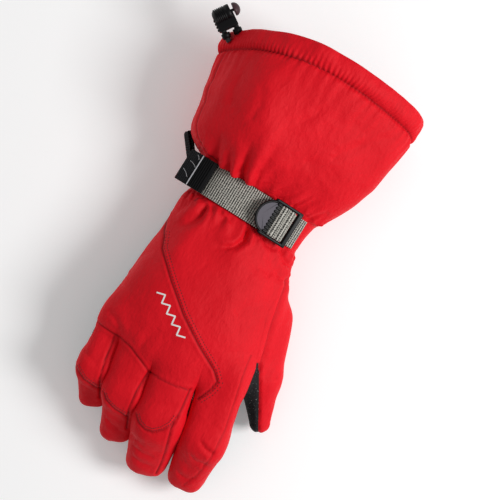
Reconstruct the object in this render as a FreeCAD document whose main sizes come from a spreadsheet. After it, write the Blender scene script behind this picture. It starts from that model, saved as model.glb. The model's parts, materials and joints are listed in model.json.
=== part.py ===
# Insulated gauntlet ski glove, right hand, lying palm down with its fingers relaxed.
# Frame: +Z up off the table, +Y from the fingers to the cuff, +X to the thumb side.
# Origin: on the table, under the middle of the glove.  Millimetres and degrees.
import FreeCAD, Part
import Sketcher
import math
import os
from FreeCAD import Placement, Rotation, Vector

doc = FreeCAD.newDocument("ski_glove")
sheet = doc.addObject("Spreadsheet::Sheet", "dims")
values = {}
subparts = {}


def put(alias, value):
    """One driving dimension: a cell with a plain number and an alias."""
    row = len(values) + 1
    sheet.set("A%d" % row, alias.replace("_", " "))
    sheet.set("B%d" % row, str(value))
    sheet.setAlias("B%d" % row, alias)
    values[alias] = float(value)


def put_all(table):
    for alias, value in table.items():
        put(alias, value)


# ---------------------------------------------------------------- driving dimensions
# Cross-sections of the glove's outside, from the cuff's mouth to the knuckles:
# place along the glove, left edge, right edge, underside and top.
SECTIONS = {
    "mouth": (166, -77, 77, -4, 84),
    "hem_line": (140, -77, 77, -4, 84),
    "flare": (118, -75, 72, -4, 83),
    "gauntlet": (88, -71, 62.5, -4, 77),
    "neck": (73, -67, 57, -4, 71),
    "strap_top": (61, -60, 48, -4, 62),
    "strap_mid": (53, -55.5, 40, -4, 57),
    "waist": (40, -54, 36, -4, 56),
    "wrist": (25, -55, 33.5, -4, 56),
    "heel": (3, -58.5, 37, -4, 60),
    "palm": (-37, -68, 41, 2, 66),
    "knuckles": (-59, -72.5, 43, 18, 68),
}
for section, sizes in SECTIONS.items():
    for part, value in zip(("y", "left", "right", "low", "top"), sizes):
        put("%s_%s" % (section, part), value)

# Each finger: knuckle centre, how far its line turns to the thumb side, how far its two
# stretches point down, the radii at knuckle, middle joint and tip, and the two lengths.
FINGERS = {
    "index": (30, -79.5, 50, 0, 16, 36, 15, 14, 12.5, 44, 34),
    "middle": (-7.5, -78.5, 54, 4, 20, 42, 17, 15, 13.5, 46, 36.6),
    "ring": (-39.3, -73.5, 50.5, 6, 20, 42, 13, 12.8, 12.2, 43, 34),
    "pinky": (-64.3, -72.5, 43, 7, 20, 42, 11, 10.8, 10, 34, 27),
    "thumb": (36, -24.5, 20, 20, 5, 5, 15.5, 13, 10.5, 42, 31),
}
FINGER_SIZES = ("x", "y", "z", "yaw", "pitch", "curl", "root", "mid", "end", "base", "tip")
for finger, sizes in FINGERS.items():
    for part, value in zip(FINGER_SIZES, sizes):
        put("%s_%s" % (finger, part), value)

put_all({
    # layers, as depths under the outside
    "outer_skin": 0, "skin_back": 2.0,
    "membrane_front": 2.2, "membrane_back": 2.8,
    "padding_front": 3.2, "padding_back": 6.2,
    "liner_front": 6.4, "liner_back": 7.6,
    "finger_liner_front": 2.2, "finger_liner_back": 4.4,
    "elastic_back": 5.2,
    # splits between panels
    "seam_gap": 0.2, "joint_gap": 0.6,
    "wrist_line": 28.5, "elastic_low": 32.5, "elastic_high": 42.5,
    "front_line": -59, "mouth_tilt": 21, "mouth_middle": 146.5, "hem_width": 14.5,
    "gusset_line": -57, "side_seam": 24,
    # webbing
    "webbing_width": 23.6, "webbing_thick": 1.2, "webbing_gap": 0.3,
    "strap_turn": -7, "strap_line": 41.0, "strap_low": 10,
    # ladder lock
    "lock_x": 23, "lock_y": 38.2, "lock_z": 52.4, "lock_rise": 21, "lock_width": 27,
    "lock_bar": 1.6, "lock_thick": 3.2, "lock_reach": 22, "window_width": 24.6,
    "middle_bar_near": 9.0, "middle_bar_far": 11.6, "window_far": 17,
    "tab_length": 26, "tab_width": 24.5, "tab_plate": 4,
    "tab_radius": 9.5, "tab_middle": 20, "tab_thick": 2.4, "loop_wall": 0.7,
    # cord and its lock
    "cord_thick": 3.4, "drawcord_thick": 3.0, "cord_x": -72, "cord_y": 145.2, "cord_z": 51,
    "cord_turn": 50, "lock_out": 15, "barrel_radius": 5.8, "barrel_length": 15.6,
    "slot_width": 13.2, "slot_height": 3.9, "skirt_reach": 8.5, "skirt_width": 14.6,
    "button_radius": 5.0, "button_thick": 2.4, "button_gap": 2.2, "stem_radius": 1.5,
    "eyelet_radius": 3.4,
})
doc.recompute()


def box_of(name, x, y, z, dx, dy, dz, turn=None):
    """A cutting box with its low corner at x, y, z, turned about that corner."""
    box = doc.addObject("Part::Box", name)
    box.Length, box.Width, box.Height = dx, dy, dz
    box.Placement = Placement(Vector(x, y, z), turn or Rotation())
    return box


def join(kind, name, base, tool):
    """A boolean of two objects: Cut, Common or Fuse."""
    result = doc.addObject("Part::" + kind, name)
    result.Base = base
    result.Tool = tool
    return result


def keep(node, obj):
    """Names a finished sub-part: its label is the node's name."""
    obj.Label = node
    subparts[node] = obj
    return obj


# ---------------------------------------------------------------- the glove's hull
QUARTERS = 4


def oval(section, rise):
    """One cross-section as a closed wire of four elliptical arcs, grown by a rise."""
    left, right, low, top = (values["%s_%s" % (section, part)]
                             for part in ("left", "right", "low", "top"))
    curve = Part.Ellipse(Vector(), (right - left) / 2 + rise, (top - low) / 2 + rise)
    step = 2 * math.pi / QUARTERS
    arcs = [Part.ArcOfEllipse(curve, step * (index + 0.5), step * (index + 1.5)).toShape()
            for index in range(QUARTERS)]
    wire = Part.Wire(arcs)
    middle = Vector((left + right) / 2, values[section + "_y"], (low + top) / 2)
    wire.Placement = Placement(middle, Rotation(Vector(1, 0, 0), 90))
    return wire


def loft_through(name, sections, rise):
    """A straight-sided loft through cross-sections, all grown by the same rise."""
    loft = doc.addObject("Part::Feature", name)
    loft.Shape = Part.makeLoft([oval(section, rise) for section in sections], True, True)
    return loft


def hull(depth):
    """The whole glove without fingers, shrunk by a depth given as a cell's name."""
    loft = loft_through("loft_" + depth, SECTIONS, -values[depth])
    floor = box_of("floor_" + depth, -120, -120, -40, 240, 320, 40 + values[depth])
    return join("Cut", "hull_" + depth, loft, floor)


def shell(name, front, back):
    """The layer between two depths."""
    return join("Cut", name, hulls[front], hulls[back])


hulls = {}
for depth in ("outer_skin", "skin_back", "membrane_front", "membrane_back", "padding_front",
              "padding_back", "liner_front", "liner_back", "elastic_back"):
    hulls[depth] = hull(depth)

skin = shell("skin", "outer_skin", "skin_back")
membrane = shell("membrane", "membrane_front", "membrane_back")
padding = shell("padding", "padding_front", "padding_back")
liner = shell("liner", "liner_front", "liner_back")
elastic = shell("elastic", "padding_front", "elastic_back")

# ---------------------------------------------------------------- regions
TILT = values["mouth_tilt"]
MOUTH = values["mouth_middle"]
HALF_HEIGHT = 42
GAP = values["seam_gap"]


def slab(name, low, high, tilted_low=False, tilted_high=False):
    """The space between two places along the glove; a tilted end leans with the mouth."""
    reach = 400
    turn = Rotation(Vector(1, 0, 0), -TILT)
    low_box = box_of(name + "_from", -120, low, -100, 240, reach, 300)
    if tilted_low:
        low_box.Placement = Placement(Vector(-120, low, HALF_HEIGHT), turn).multiply(
            Placement(Vector(0, 0, -150), Rotation()))
    high_box = box_of(name + "_to", -120, high - reach, -100, 240, reach, 300)
    if tilted_high:
        high_box.Placement = Placement(Vector(-120, high, HALF_HEIGHT), turn).multiply(
            Placement(Vector(0, -reach, -150), Rotation()))
    return join("Common", name, low_box, high_box)


def thumb_room():
    """The space the thumb's root swings in, which the hand's layers leave free."""
    reach = values["thumb_root"] + 0.8
    x, y, z = (values["thumb_" + part] for part in "xyz")
    drum = doc.addObject("Part::Cylinder", "thumb_drum")
    drum.Radius = reach
    drum.Height = 2 * reach
    drum.Placement = Placement(Vector(x, y, z - reach), Rotation())
    inward = Rotation(Vector(0, 0, 1), values["thumb_yaw"] - 4)
    outside = box_of("thumb_sector", 0, 0, 0, 90, 90, 2 * reach - 1)
    outside.Placement = Placement(Vector(x, y, z - reach + 0.5), inward).multiply(
        Placement(Vector(-reach, -90, 0), Rotation()))
    return join("Fuse", "thumb_room", drum, outside)


hand_slab = slab("hand_slab", values["front_line"], values["wrist_line"])
cuff_low = values["wrist_line"] + GAP
cuff_high = MOUTH - values["hem_width"] - GAP
cuff_slab = slab("cuff_slab", cuff_low, cuff_high, False, True)
hem_slab = slab("hem_slab", MOUTH - values["hem_width"], MOUTH, True, True)
room = thumb_room()


def in_hand(name, layer):
    """The part of a layer round the hand, open where the thumb goes in."""
    return join("Cut", name, join("Common", name + "_whole", layer, hand_slab), room)


def half_space(name, point, normal):
    """A large box whose face stands at a point, with the body on the normal's side."""
    size = 600
    turn = Rotation(Vector(0, 0, 1), Vector(*normal))
    box = box_of(name, 0, 0, 0, size, size, size)
    box.Placement = Placement(Vector(*point), turn).multiply(
        Placement(Vector(-size / 2, -size / 2, 0), Rotation()))
    return box


def side_of(name, base, point, normal):
    """What lies of a solid on one side of a plane."""
    return join("Common", name, base, half_space(name + "_side", point, normal))


# ---------------------------------------------------------------- panels of the outside
def hand_panels():
    """Back of the hand in two panels, joined on a diagonal seam, and the grip palm."""
    hand = in_hand("hand_skin", skin)
    # the side seam climbs from the heel to the knuckles
    run, climb = 88, 20
    upward = (0, climb / run, 1)
    back = side_of("hand_top", hand, (0, values["wrist_line"], 14 + GAP), upward)
    keep("palm_panel", side_of("palm", hand, (0, values["wrist_line"], 14),
                               (0, -climb / run, -1)))
    seam = (-58, 3.5, 0)
    across = (78, 73, 0)
    keep("back_panel", side_of("back", back, (seam[0] + GAP, seam[1], 0), across))
    keep("outer_back_panel", side_of("outer_back", back, seam, (-78, -73, 0)))


def cuff_panels():
    """Gauntlet: back, palm side and the gusset on the outer side."""
    cuff = join("Common", "cuff_skin", skin, cuff_slab)
    line = values["gusset_line"]
    height = values["side_seam"]
    keep("cuff_gusset", side_of("gusset", cuff, (line, 0, 0), (-1, 0, 0)))
    rest = side_of("cuff_rest", cuff, (line + GAP, 0, 0), (1, 0, 0))
    keep("cuff_back_panel", side_of("cuff_back", rest, (0, 0, height + GAP), (0, 0, 1)))
    keep("cuff_palm_panel", side_of("cuff_palm", rest, (0, 0, height), (0, 0, -1)))


def linings():
    """Waterproof insert, padding and brushed liner of the hand and the cuff."""
    keep("hand_membrane", in_hand("insert", membrane))
    low, high = values["elastic_low"], values["elastic_high"]
    keep("hand_padding", in_hand("hand_fill", padding))
    keep("hand_liner", in_hand("hand_lining", liner))
    upper = slab("upper_cuff", high + GAP, cuff_high, False, True)
    keep("cuff_padding", join("Common", "cuff_fill", padding, upper))
    keep("cuff_liner", join("Common", "cuff_lining", liner, cuff_slab))
    band = slab("elastic_slab", low, high)
    keep("wrist_elastic", join("Common", "elastic_band", elastic, band))


hand_panels()
cuff_panels()
linings()


# ---------------------------------------------------------------- hem and drawcord
def hem():
    """Folded channel round the mouth, with a tunnel for the drawcord."""
    wall = join("Cut", "hem_wall", hulls["outer_skin"], hulls["liner_back"])
    channel = join("Common", "hem_channel", wall, hem_slab)
    tunnel_low = MOUTH - values["hem_width"] + 4
    tunnel = join("Cut", "tunnel_wall", hulls["skin_back"], hulls["padding_back"])
    space = join("Common", "tunnel", tunnel, slab("tunnel_slab", tunnel_low, MOUTH - 4, True, True))
    return keep("cuff_hem", join("Cut", "hem_sewn", channel, space))


def drawcord():
    """Elastic cord lying in the tunnel, an oval leaning with the mouth."""
    across = values["hem_line_right"] - 4.1
    lean = math.radians(TILT)
    top = values["hem_line_top"] - 4.1
    low = values["skin_back"] + 2.1
    half_height = (top - low) / 2 / math.cos(lean)
    middle = Vector(0, MOUTH - values["hem_width"] / 2 + 0.6, (top + low) / 2)
    turn = Rotation(Vector(1, 0, 0), 90 - TILT)
    path = Part.Ellipse(Vector(), across, half_height).toShape()
    path.Placement = Placement(middle, turn)
    start = path.valueAt(path.FirstParameter)
    along = path.tangentAt(path.FirstParameter)
    ring = Part.Wire(Part.makeCircle(values["drawcord_thick"] / 2, start, along))
    cord = doc.addObject("Part::Feature", "drawcord")
    cord.Shape = Part.Wire(path).makePipeShell([ring], True, False)
    return keep("hem_drawcord", cord)


hem()
drawcord()


# ---------------------------------------------------------------- fingers
def revolved(name, kind, angle, **sizes):
    """A sphere zone or a cone of given sweep; sizes are expressions or numbers."""
    solid = doc.addObject("Part::" + kind, name)
    for prop, size in sizes.items():
        if isinstance(size, str):
            solid.setExpression(prop, size)
        else:
            setattr(solid, prop, size)
    if kind == "Sphere":
        solid.Angle3 = angle
    else:
        solid.Angle = angle
    return solid


def stall(name, radii, span, depth, angle, rear, closed):
    """A round tapering finger stall along its own Z, shrunk by a depth: a ball-shaped
    root cut off behind the joint at a latitude, a cone, and a round end if it is closed.
    The span is an expression and its value."""
    small, large = ("dims.%s - dims.%s" % (radius, depth) for radius in radii)
    pieces = [revolved(name + "_root", "Sphere", angle, Radius=small, Angle1=rear, Angle2=0),
              revolved(name + "_tube", "Cone", angle, Radius1=small, Radius2=large,
                       Height=span[0])]
    if closed:
        end = revolved(name + "_end", "Sphere", angle, Radius=large, Angle1=0, Angle2=90)
        end.Placement = Placement(Vector(0, 0, span[1]), Rotation())
        pieces.append(end)
    whole = doc.addObject("Part::MultiFuse", name)
    whole.Shapes = pieces
    return whole


# rear latitudes of the ball-shaped roots, outside and inside
REAR_OUT = -15
REAR_IN = -40
# how far the thumb's back is rolled towards the outside of the hand
THUMB_ROLL = -75


def along(yaw, pitch):
    """Unit vector pointing down a finger: yaw to the thumb side, pitch to the table."""
    yaw, pitch = math.radians(yaw), math.radians(pitch)
    return Vector(math.sin(yaw) * math.cos(pitch), -math.cos(yaw) * math.cos(pitch),
                  -math.sin(pitch))


def frame_at(point, direction, roll=0):
    """Own Z down the finger, own Y out of its back, own X along its hinges."""
    side = direction.cross(Vector(0, 0, 1)).negative()
    side.normalize()
    turn = Rotation(side, Vector(), direction, "ZXY")
    return Placement(point, turn.multiply(Rotation(Vector(0, 0, 1), roll)))


def finger_part(node, radii, span, closed, place):
    """Back, palm side and liner of one stretch of a finger."""
    # the space inside a stretch that is open at its far end runs on past that end
    inner_span = span if closed else (span[0] + " + 1", span[1] + 1)
    hollow = stall(node + "_hollow", radii, inner_span, "skin_back", 360, REAR_IN, closed)
    halves = {"back": 0, "palm": 180}
    for half, turn in halves.items():
        outside = stall("%s_%s_outside" % (node, half), radii, span, "outer_skin", 180,
                        REAR_OUT, closed)
        outside.Placement = Placement(Vector(), Rotation(Vector(0, 0, 1), turn))
        piece = join("Cut", "%s_%s_sewn" % (node, half), outside, hollow)
        piece.Placement = place
        keep("%s_%s" % (node, half), piece)
    lining = stall(node + "_lining", radii, span, "finger_liner_front", 360, REAR_OUT, closed)
    space = stall(node + "_space", radii, inner_span, "finger_liner_back", 360, REAR_IN, closed)
    sleeve = join("Cut", node + "_sleeve", lining, space)
    sleeve.Placement = place
    keep(node + "_liner", sleeve)


def finger(name):
    """Two stretches with a joint between; the root stretch hinges on the hand."""
    def size(part):
        return values["%s_%s" % (name, part)]

    def cell(part):
        return "%s_%s" % (name, part)

    knuckle = Vector(size("x"), size("y"), size("z"))
    first = along(size("yaw"), size("pitch"))
    second = along(size("yaw"), size("curl"))
    middle = knuckle + first * size("base")
    # a thumb lies on its side: its back faces away from the hand
    roll = THUMB_ROLL if name == "thumb" else 0
    base_span = ("dims.{0}_base - dims.{0}_mid - dims.joint_gap".format(name),
                 size("base") - size("mid") - values["joint_gap"])
    tip_span = ("dims.%s_tip" % name, size("tip"))
    finger_part(name + "_base", (cell("root"), cell("mid")), base_span, False,
                frame_at(knuckle, first, roll))
    finger_part(name + "_tip", (cell("mid"), cell("end")), tip_span, True,
                frame_at(middle, second, roll))
    print("%s: knuckle %s middle joint %s" % (name, rounded(knuckle), rounded(middle)))
    print("   hinge axis %s" % rounded(first.cross(Vector(0, 0, 1)).negative().normalize()))


def rounded(vector):
    return [round(value, 3) for value in vector]


for name in FINGERS:
    finger(name)


# ---------------------------------------------------------------- wrist strap
# where each strip of webbing begins and ends across the wrist
LOAD_ENDS = (-80, 5)
TAIL_ENDS = (-43, 1)
ANCHOR_ENDS = (20, 31)
ANCHOR_LOW = 30
TAB_ROOT = Vector(-43.2, 46.4, 55.6)
TAB_SLOPE = -35


def strap_slab(name, width):
    """Space over the wrist as wide as the webbing, turned with the strap."""
    turn = Rotation(Vector(0, 0, 1), values["strap_turn"])
    box = doc.addObject("Part::Box", name)
    box.Length, box.Width, box.Height = 300, width, 200
    box.Placement = Placement(Vector(0, values["strap_line"], 0), turn).multiply(
        Placement(Vector(-150, -width / 2, values["strap_low"]), Rotation()))
    return box


def webbing(name, near, far, first_x, last_x, low_z=0):
    """A strip of webbing lying between two heights over the hull, above a low limit."""
    lower, upper = (hull_over(name + mark, rise) for mark, rise in (("_in", near), ("_out", far)))
    layer = join("Cut", name + "_layer", upper, lower)
    band = join("Common", name + "_band", layer, strap_slab(name + "_slab",
                                                            values["webbing_width"]))
    limits = box_of(name + "_limits", first_x, -100, low_z, last_x - first_x, 300, 200)
    return join("Common", name, band, limits)


def hull_over(name, rise):
    """The hull round the wrist grown by a height, for what lies on top of it."""
    return loft_through(name, ("neck", "strap_top", "strap_mid", "waist", "wrist", "heel"), rise)


def strap():
    """Load webbing from the outer seam to the lock, its tail on top, and the pull tab."""
    gap, thick = values["webbing_gap"], values["webbing_thick"]
    tail_gap = gap + thick + 0.2
    keep("wrist_strap", webbing("load", gap, gap + thick, *LOAD_ENDS))
    keep("strap_tail", webbing("tail", tail_gap, tail_gap + thick, *TAIL_ENDS))
    # the tab stands on the tail's outer end and slopes down to the outer seam
    length, width, thick = (values["tab_" + part] for part in ("length", "width", "plate"))
    tab = box_of("tab_plate", 0, 0, 0, length, width, thick)
    slope = Rotation(Vector(0, 0, 1), values["strap_turn"]).multiply(
        Rotation(Vector(0, 1, 0), TAB_SLOPE))
    tab.Placement = Placement(TAB_ROOT, slope).multiply(
        Placement(Vector(-length, -width / 2, 0), Rotation()))
    keep("pull_tab", tab)


strap()


# ---------------------------------------------------------------- ladder lock
LOCK_TURN = Rotation(Vector(0, 0, 1), values["strap_turn"]).multiply(
    Rotation(Vector(0, 1, 0), values["lock_rise"]))
LOCK_PLACE = Placement(Vector(values["lock_x"], values["lock_y"], values["lock_z"]), LOCK_TURN)


def plane_of(body, role):
    """One of a body's own origin planes."""
    return next(item for item in body.Origin.OriginFeatures if item.Role == role)


def sketch_on(body, name):
    """An empty sketch on the body's own XY plane."""
    sketch = body.newObject("Sketcher::SketchObject", name)
    sketch.AttachmentSupport = [(plane_of(body, "XY_Plane"), "")]
    sketch.MapMode = "FlatFace"
    return sketch


def rectangle(sketch, near, far, half_width):
    """A rectangle lying across the lock between two distances from its hinge bar; the
    distances and the width are cells, and a near of 0 stands for the bar's outer face."""
    left, right = -values[far], -values[near] if near else values["lock_bar"]
    half = values[half_width] / 2
    corners = [Vector(left, -half, 0), Vector(right, -half, 0),
               Vector(right, half, 0), Vector(left, half, 0)]
    first = sketch.GeometryCount
    for index in range(4):
        sketch.addGeometry(Part.LineSegment(corners[index], corners[(index + 1) % 4]), False)
    for index in range(4):
        sketch.addConstraint(Sketcher.Constraint("Coincident", first + index, 2,
                                                 first + (index + 1) % 4, 1))
    for index, kind in ((0, "Horizontal"), (2, "Horizontal"), (3, "Vertical")):
        sketch.addConstraint(Sketcher.Constraint(kind, first + index))
    dimension(sketch, ("DistanceX", -1, 1, first, 2, right),
              "dims." + near if near else None, near, -1)
    dimension(sketch, ("DistanceX", -1, 1, first, 1, left), "dims." + far, far, -1)
    dimension(sketch, ("DistanceY", first + 1, 1, first + 1, 2, 2 * half),
              "dims." + half_width, half_width, 1)
    sketch.addConstraint(Sketcher.Constraint("Symmetric", first + 1, 1, first + 1, 2, -1))


def dimension(sketch, parts, expression, name, sign):
    """A named dimension of a sketch, bound to its cell where it has one."""
    index = sketch.addConstraint(Sketcher.Constraint(*parts))
    if expression:
        sketch.renameConstraint(index, "%s_%d" % (name, index))
        bound = expression if sign > 0 else "-" + expression
        sketch.setExpression("Constraints.%s_%d" % (name, index), bound)


def ladder_lock():
    """Frame with a hinge bar, a middle bar and a rounded lifting tab."""
    body = doc.addObject("PartDesign::Body", "ladder_lock_body")
    frame = body.newObject("PartDesign::Pad", "lock_frame")
    frame.Profile = sketch_on(body, "lock_outline")
    rectangle(frame.Profile[0], None, "lock_reach", "lock_width")
    frame.Midplane = True
    frame.setExpression("Length", "dims.lock_thick")
    doc.recompute()
    solid_volume = body.Shape.Volume
    for name, near, far in (("near_window", "lock_bar", "middle_bar_near"),
                            ("far_window", "middle_bar_far", "window_far")):
        window = body.newObject("PartDesign::Pocket", name)
        window.Profile = sketch_on(body, name + "_outline")
        rectangle(window.Profile[0], near, far, "window_width")
        window.Midplane = True
        window.setExpression("Length", "dims.lock_thick + 2")
        doc.recompute()
        if body.Shape.Volume >= solid_volume:
            raise RuntimeError(name + " cut nothing")
        solid_volume = body.Shape.Volume
    tab = body.newObject("PartDesign::Pad", "lock_tab")
    tab.Profile = sketch_on(body, "tab_outline")
    circle = Part.Circle(Vector(-values["tab_middle"], 0, 0), Vector(0, 0, 1),
                         values["tab_radius"])
    tab_arc = Part.ArcOfCircle(circle, math.pi / 2, 3 * math.pi / 2)
    outline = tab.Profile[0]
    outline.addGeometry(tab_arc, False)
    low, high = tab_arc.EndPoint, tab_arc.StartPoint
    outline.addGeometry(Part.LineSegment(low, high), False)
    outline.addConstraint(Sketcher.Constraint("Coincident", 0, 2, 1, 1))
    outline.addConstraint(Sketcher.Constraint("Coincident", 1, 2, 0, 1))
    index = outline.addConstraint(Sketcher.Constraint("Radius", 0, values["tab_radius"]))
    outline.renameConstraint(index, "tab_round")
    outline.setExpression("Constraints.tab_round", "dims.tab_radius")
    tab.Midplane = True
    tab.setExpression("Length", "dims.tab_thick")
    doc.recompute()
    body.Placement = LOCK_PLACE
    keep("ladder_lock", body)


def across_lock(name, distance, radius_in):
    """A sleeve of webbing round one of the lock's bars."""
    width = values["webbing_width"]
    sizes = {"outer": radius_in + values["loop_wall"], "inner": radius_in}
    rounds = []
    for part, radius in sizes.items():
        drum = doc.addObject("Part::Cylinder", "%s_%s" % (name, part))
        drum.Radius = radius
        drum.Height = width
        rounds.append(drum)
    sleeve = join("Cut", name, *rounds)
    lying = Placement(Vector(-distance, width / 2, 0), Rotation(Vector(1, 0, 0), 90))
    sleeve.Placement = LOCK_PLACE.multiply(lying)
    return sleeve


def lock_webbing():
    """The fixed webbing that holds the lock's hinge bar, and the strap's turn round its
    middle bar, which travels with the lock."""
    gap, thick = values["webbing_gap"], values["webbing_thick"]
    fixed = webbing("anchor_strip", gap, gap + thick, *ANCHOR_ENDS, low_z=ANCHOR_LOW)
    holder = across_lock("anchor_turn", 0, 2.4)
    keep("buckle_anchor", join("Fuse", "anchor", fixed, holder))
    middle = (values["middle_bar_near"] + values["middle_bar_far"]) / 2
    keep("strap_turn_webbing", across_lock("strap_turn_sleeve", middle, 2.15))


ladder_lock()
lock_webbing()


# ---------------------------------------------------------------- small sewn pieces
def small_pieces():
    """Hang loop at the outer seam and the blank care label in the cuff."""
    loop = box_of("hang_strip", 0, 0, 0, 17, 3.4, 8)
    loop.Placement = Placement(Vector(-62.5, 57.5, 26), Rotation(Vector(0, 0, 1), 122))
    keep("hang_loop", loop)
    label = box_of("label_plate", -15, 95, values["liner_back"] + 0.2, 30, 22, 0.5)
    keep("care_label", label)


small_pieces()


# ---------------------------------------------------------------- cord loop and its lock
CORD_PLACE = Placement(Vector(values["cord_x"], values["cord_y"], values["cord_z"]),
                       Rotation(Vector(0, 0, 1), values["cord_turn"]))
# The loop's route: across the hem's corner (X) and out from it (Y), both in its own frame.
CORD_ROUTE = [(-4.2, -4), (-4.9, 4), (-4.4, 12), (-3.4, 18), (3.4, 18), (4.4, 12), (4.9, 4),
              (4.2, -4)]


def rounded_path(points):
    """Straight runs joined by tangent arcs, as large as the runs allow."""
    edges = []
    start = points[0]
    for before, corner, after in zip(points, points[1:], points[2:]):
        inward = (corner - before).normalize()
        outward = (after - corner).normalize()
        turn = inward.getAngle(outward)
        shorter = min((corner - before).Length, (after - corner).Length)
        trim = 0.45 * shorter
        radius = trim / math.tan(turn / 2)
        print("cord arc radius %.2f, %.2f diameters" % (radius, radius / values["cord_thick"]))
        first, last = corner - inward * trim, corner + outward * trim
        toward = (outward - inward).normalize()
        middle = corner + toward * (radius / math.cos(turn / 2) - radius)
        edges.append(Part.LineSegment(start, first).toShape())
        edges.append(Part.Arc(first, middle, last).toShape())
        start = last
    edges.append(Part.LineSegment(start, points[-1]).toShape())
    return Part.Wire(edges)


def cord_loop():
    """The drawcord's loop outside the hem."""
    points = [CORD_PLACE.multVec(Vector(x, y, 0)) for x, y in CORD_ROUTE]
    path = rounded_path(points)
    radius = values["cord_thick"] / 2
    ring = Part.Wire(Part.makeCircle(radius, points[0], points[1] - points[0]))
    cord = doc.addObject("Part::Feature", "loop_tube")
    cord.Shape = path.makePipeShell([ring], True, False)
    expected = math.pi * radius ** 2 * path.Length
    print("cord loop length %.2f, volume %.1f of %.1f" % (path.Length, cord.Shape.Volume,
                                                          expected))
    keep("cord_loop", cord)


def eyelets():
    """Two round eyelets where the loop leaves the hem."""
    for mark, (x, y) in (("outer", CORD_ROUTE[0]), ("inner", CORD_ROUTE[-1])):
        rim = doc.addObject("Part::Cylinder", "eyelet_rim_" + mark)
        rim.setExpression("Radius", "dims.eyelet_radius")
        rim.Height = 4.6
        hole = doc.addObject("Part::Cylinder", "eyelet_hole_" + mark)
        hole.setExpression("Radius", "dims.cord_thick / 2 + 0.45")
        hole.Height = 4.6
        eyelet = join("Cut", "eyelet_ring_" + mark, rim, hole)
        eyelet.Placement = CORD_PLACE.multiply(Placement(Vector(x * 1.04, -1.6, 0),
                                                         Rotation(Vector(1, 0, 0), -90)))
        keep("eyelet_" + mark, eyelet)


def along_barrel(name, radius, start, length, lift):
    """A round of the cord lock lying along its barrel."""
    drum = doc.addObject("Part::Cylinder", name)
    drum.Radius = radius
    drum.Height = length
    drum.Placement = Placement(Vector(start, 0, lift), Rotation(Vector(0, 1, 0), 90))
    return drum


def cord_lock():
    """Barrel with a slot for both runs of cord, a plunger with its button, a spring."""
    # the cords pass under the stem: the barrel's middle is a little above them
    lift = 1.6
    stem_lift = 3.0
    half = values["barrel_length"] / 2
    stem = values["stem_radius"]
    place = CORD_PLACE.multiply(Placement(Vector(0, values["lock_out"], lift), Rotation()))
    skirt_width = values["skirt_width"]
    barrel = along_barrel("barrel", values["barrel_radius"], -half, 2 * half, 0)
    skirt = box_of("skirt", -skirt_width / 2, -values["skirt_reach"], -5, skirt_width,
                   values["skirt_reach"], 6.8)
    whole = join("Fuse", "barrel_and_skirt", barrel, skirt)
    slot_width, slot_height = values["slot_width"], values["slot_height"]
    slot = box_of("slot", -slot_width / 2, -20, -lift - slot_height / 2, slot_width, 40,
                  slot_height)
    slotted = join("Cut", "slotted_barrel", whole, slot)
    bore = along_barrel("bore", stem + 0.2, -half + 2.3, 2 * half, stem_lift)
    body = join("Cut", "bored_barrel", slotted, bore)
    body.Placement = place
    keep("cord_lock_body", body)
    head_at = half + values["button_gap"]
    rod = along_barrel("rod", stem, -0.5, head_at + 1, stem_lift)
    head = along_barrel("head", values["button_radius"], head_at, values["button_thick"], 0)
    plunger = join("Fuse", "rod_and_head", rod, head)
    plunger.Placement = place
    keep("cord_lock_plunger", plunger)
    coil = along_barrel("coil", stem - 0.1, -half + 2.5, half - 3.1, stem_lift)
    core = along_barrel("core", stem - 0.8, -half + 2.0, half, stem_lift)
    spring = join("Cut", "coil_tube", coil, core)
    spring.Placement = place
    keep("cord_lock_spring", spring)


cord_loop()
eyelets()
cord_lock()


def finish():
    """Checks every object, then writes each sub-part."""
    doc.recompute()
    failed = [item.Name for item in doc.Objects if {"Invalid", "Error"} & set(item.State)]
    if failed:
        for name in failed:
            print(name, doc.getObject(name).getStatusString())
        raise RuntimeError("objects failed: %s" % failed)
    os.makedirs("parts", exist_ok=True)
    for node, item in subparts.items():
        shape = item.Shape
        if shape.isNull() or not shape.isValid() or not shape.Solids:
            raise RuntimeError("%s has no valid solid" % node)
        box = shape.BoundBox
        print("%-20s solids %d volume %9.1f  x %6.1f %6.1f  y %6.1f %6.1f  z %6.1f %6.1f" % (
            node, len(shape.Solids), shape.Volume, box.XMin, box.XMax, box.YMin, box.YMax,
            box.ZMin, box.ZMax))
        shape.exportStep("parts/%s.step" % node)


finish()
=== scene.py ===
# Looks of the ski glove: a padded softshell skin in panels, webbing, buckle and cord lock.
# Shapes are worked out in millimetres in the row frame; meshes are written in metres.
import json
import math

import bpy
import numpy as np
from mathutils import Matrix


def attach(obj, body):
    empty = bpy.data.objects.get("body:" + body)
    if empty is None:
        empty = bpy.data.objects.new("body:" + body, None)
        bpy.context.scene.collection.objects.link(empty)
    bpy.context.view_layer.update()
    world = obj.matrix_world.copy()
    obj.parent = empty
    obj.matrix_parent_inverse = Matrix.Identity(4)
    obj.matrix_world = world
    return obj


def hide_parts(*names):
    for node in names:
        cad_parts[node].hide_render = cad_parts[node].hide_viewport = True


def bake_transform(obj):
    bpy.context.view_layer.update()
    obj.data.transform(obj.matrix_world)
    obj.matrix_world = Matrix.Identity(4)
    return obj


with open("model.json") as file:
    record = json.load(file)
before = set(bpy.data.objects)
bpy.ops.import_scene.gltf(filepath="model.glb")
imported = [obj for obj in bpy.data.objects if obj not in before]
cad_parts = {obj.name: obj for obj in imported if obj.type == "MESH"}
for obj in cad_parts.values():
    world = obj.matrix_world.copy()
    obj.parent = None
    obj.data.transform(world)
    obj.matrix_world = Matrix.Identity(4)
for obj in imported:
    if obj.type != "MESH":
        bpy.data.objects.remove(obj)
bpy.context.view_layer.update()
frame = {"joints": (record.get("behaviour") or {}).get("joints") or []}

import openvdb
from mathutils import Vector
from mathutils.bvhtree import BVHTree

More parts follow.
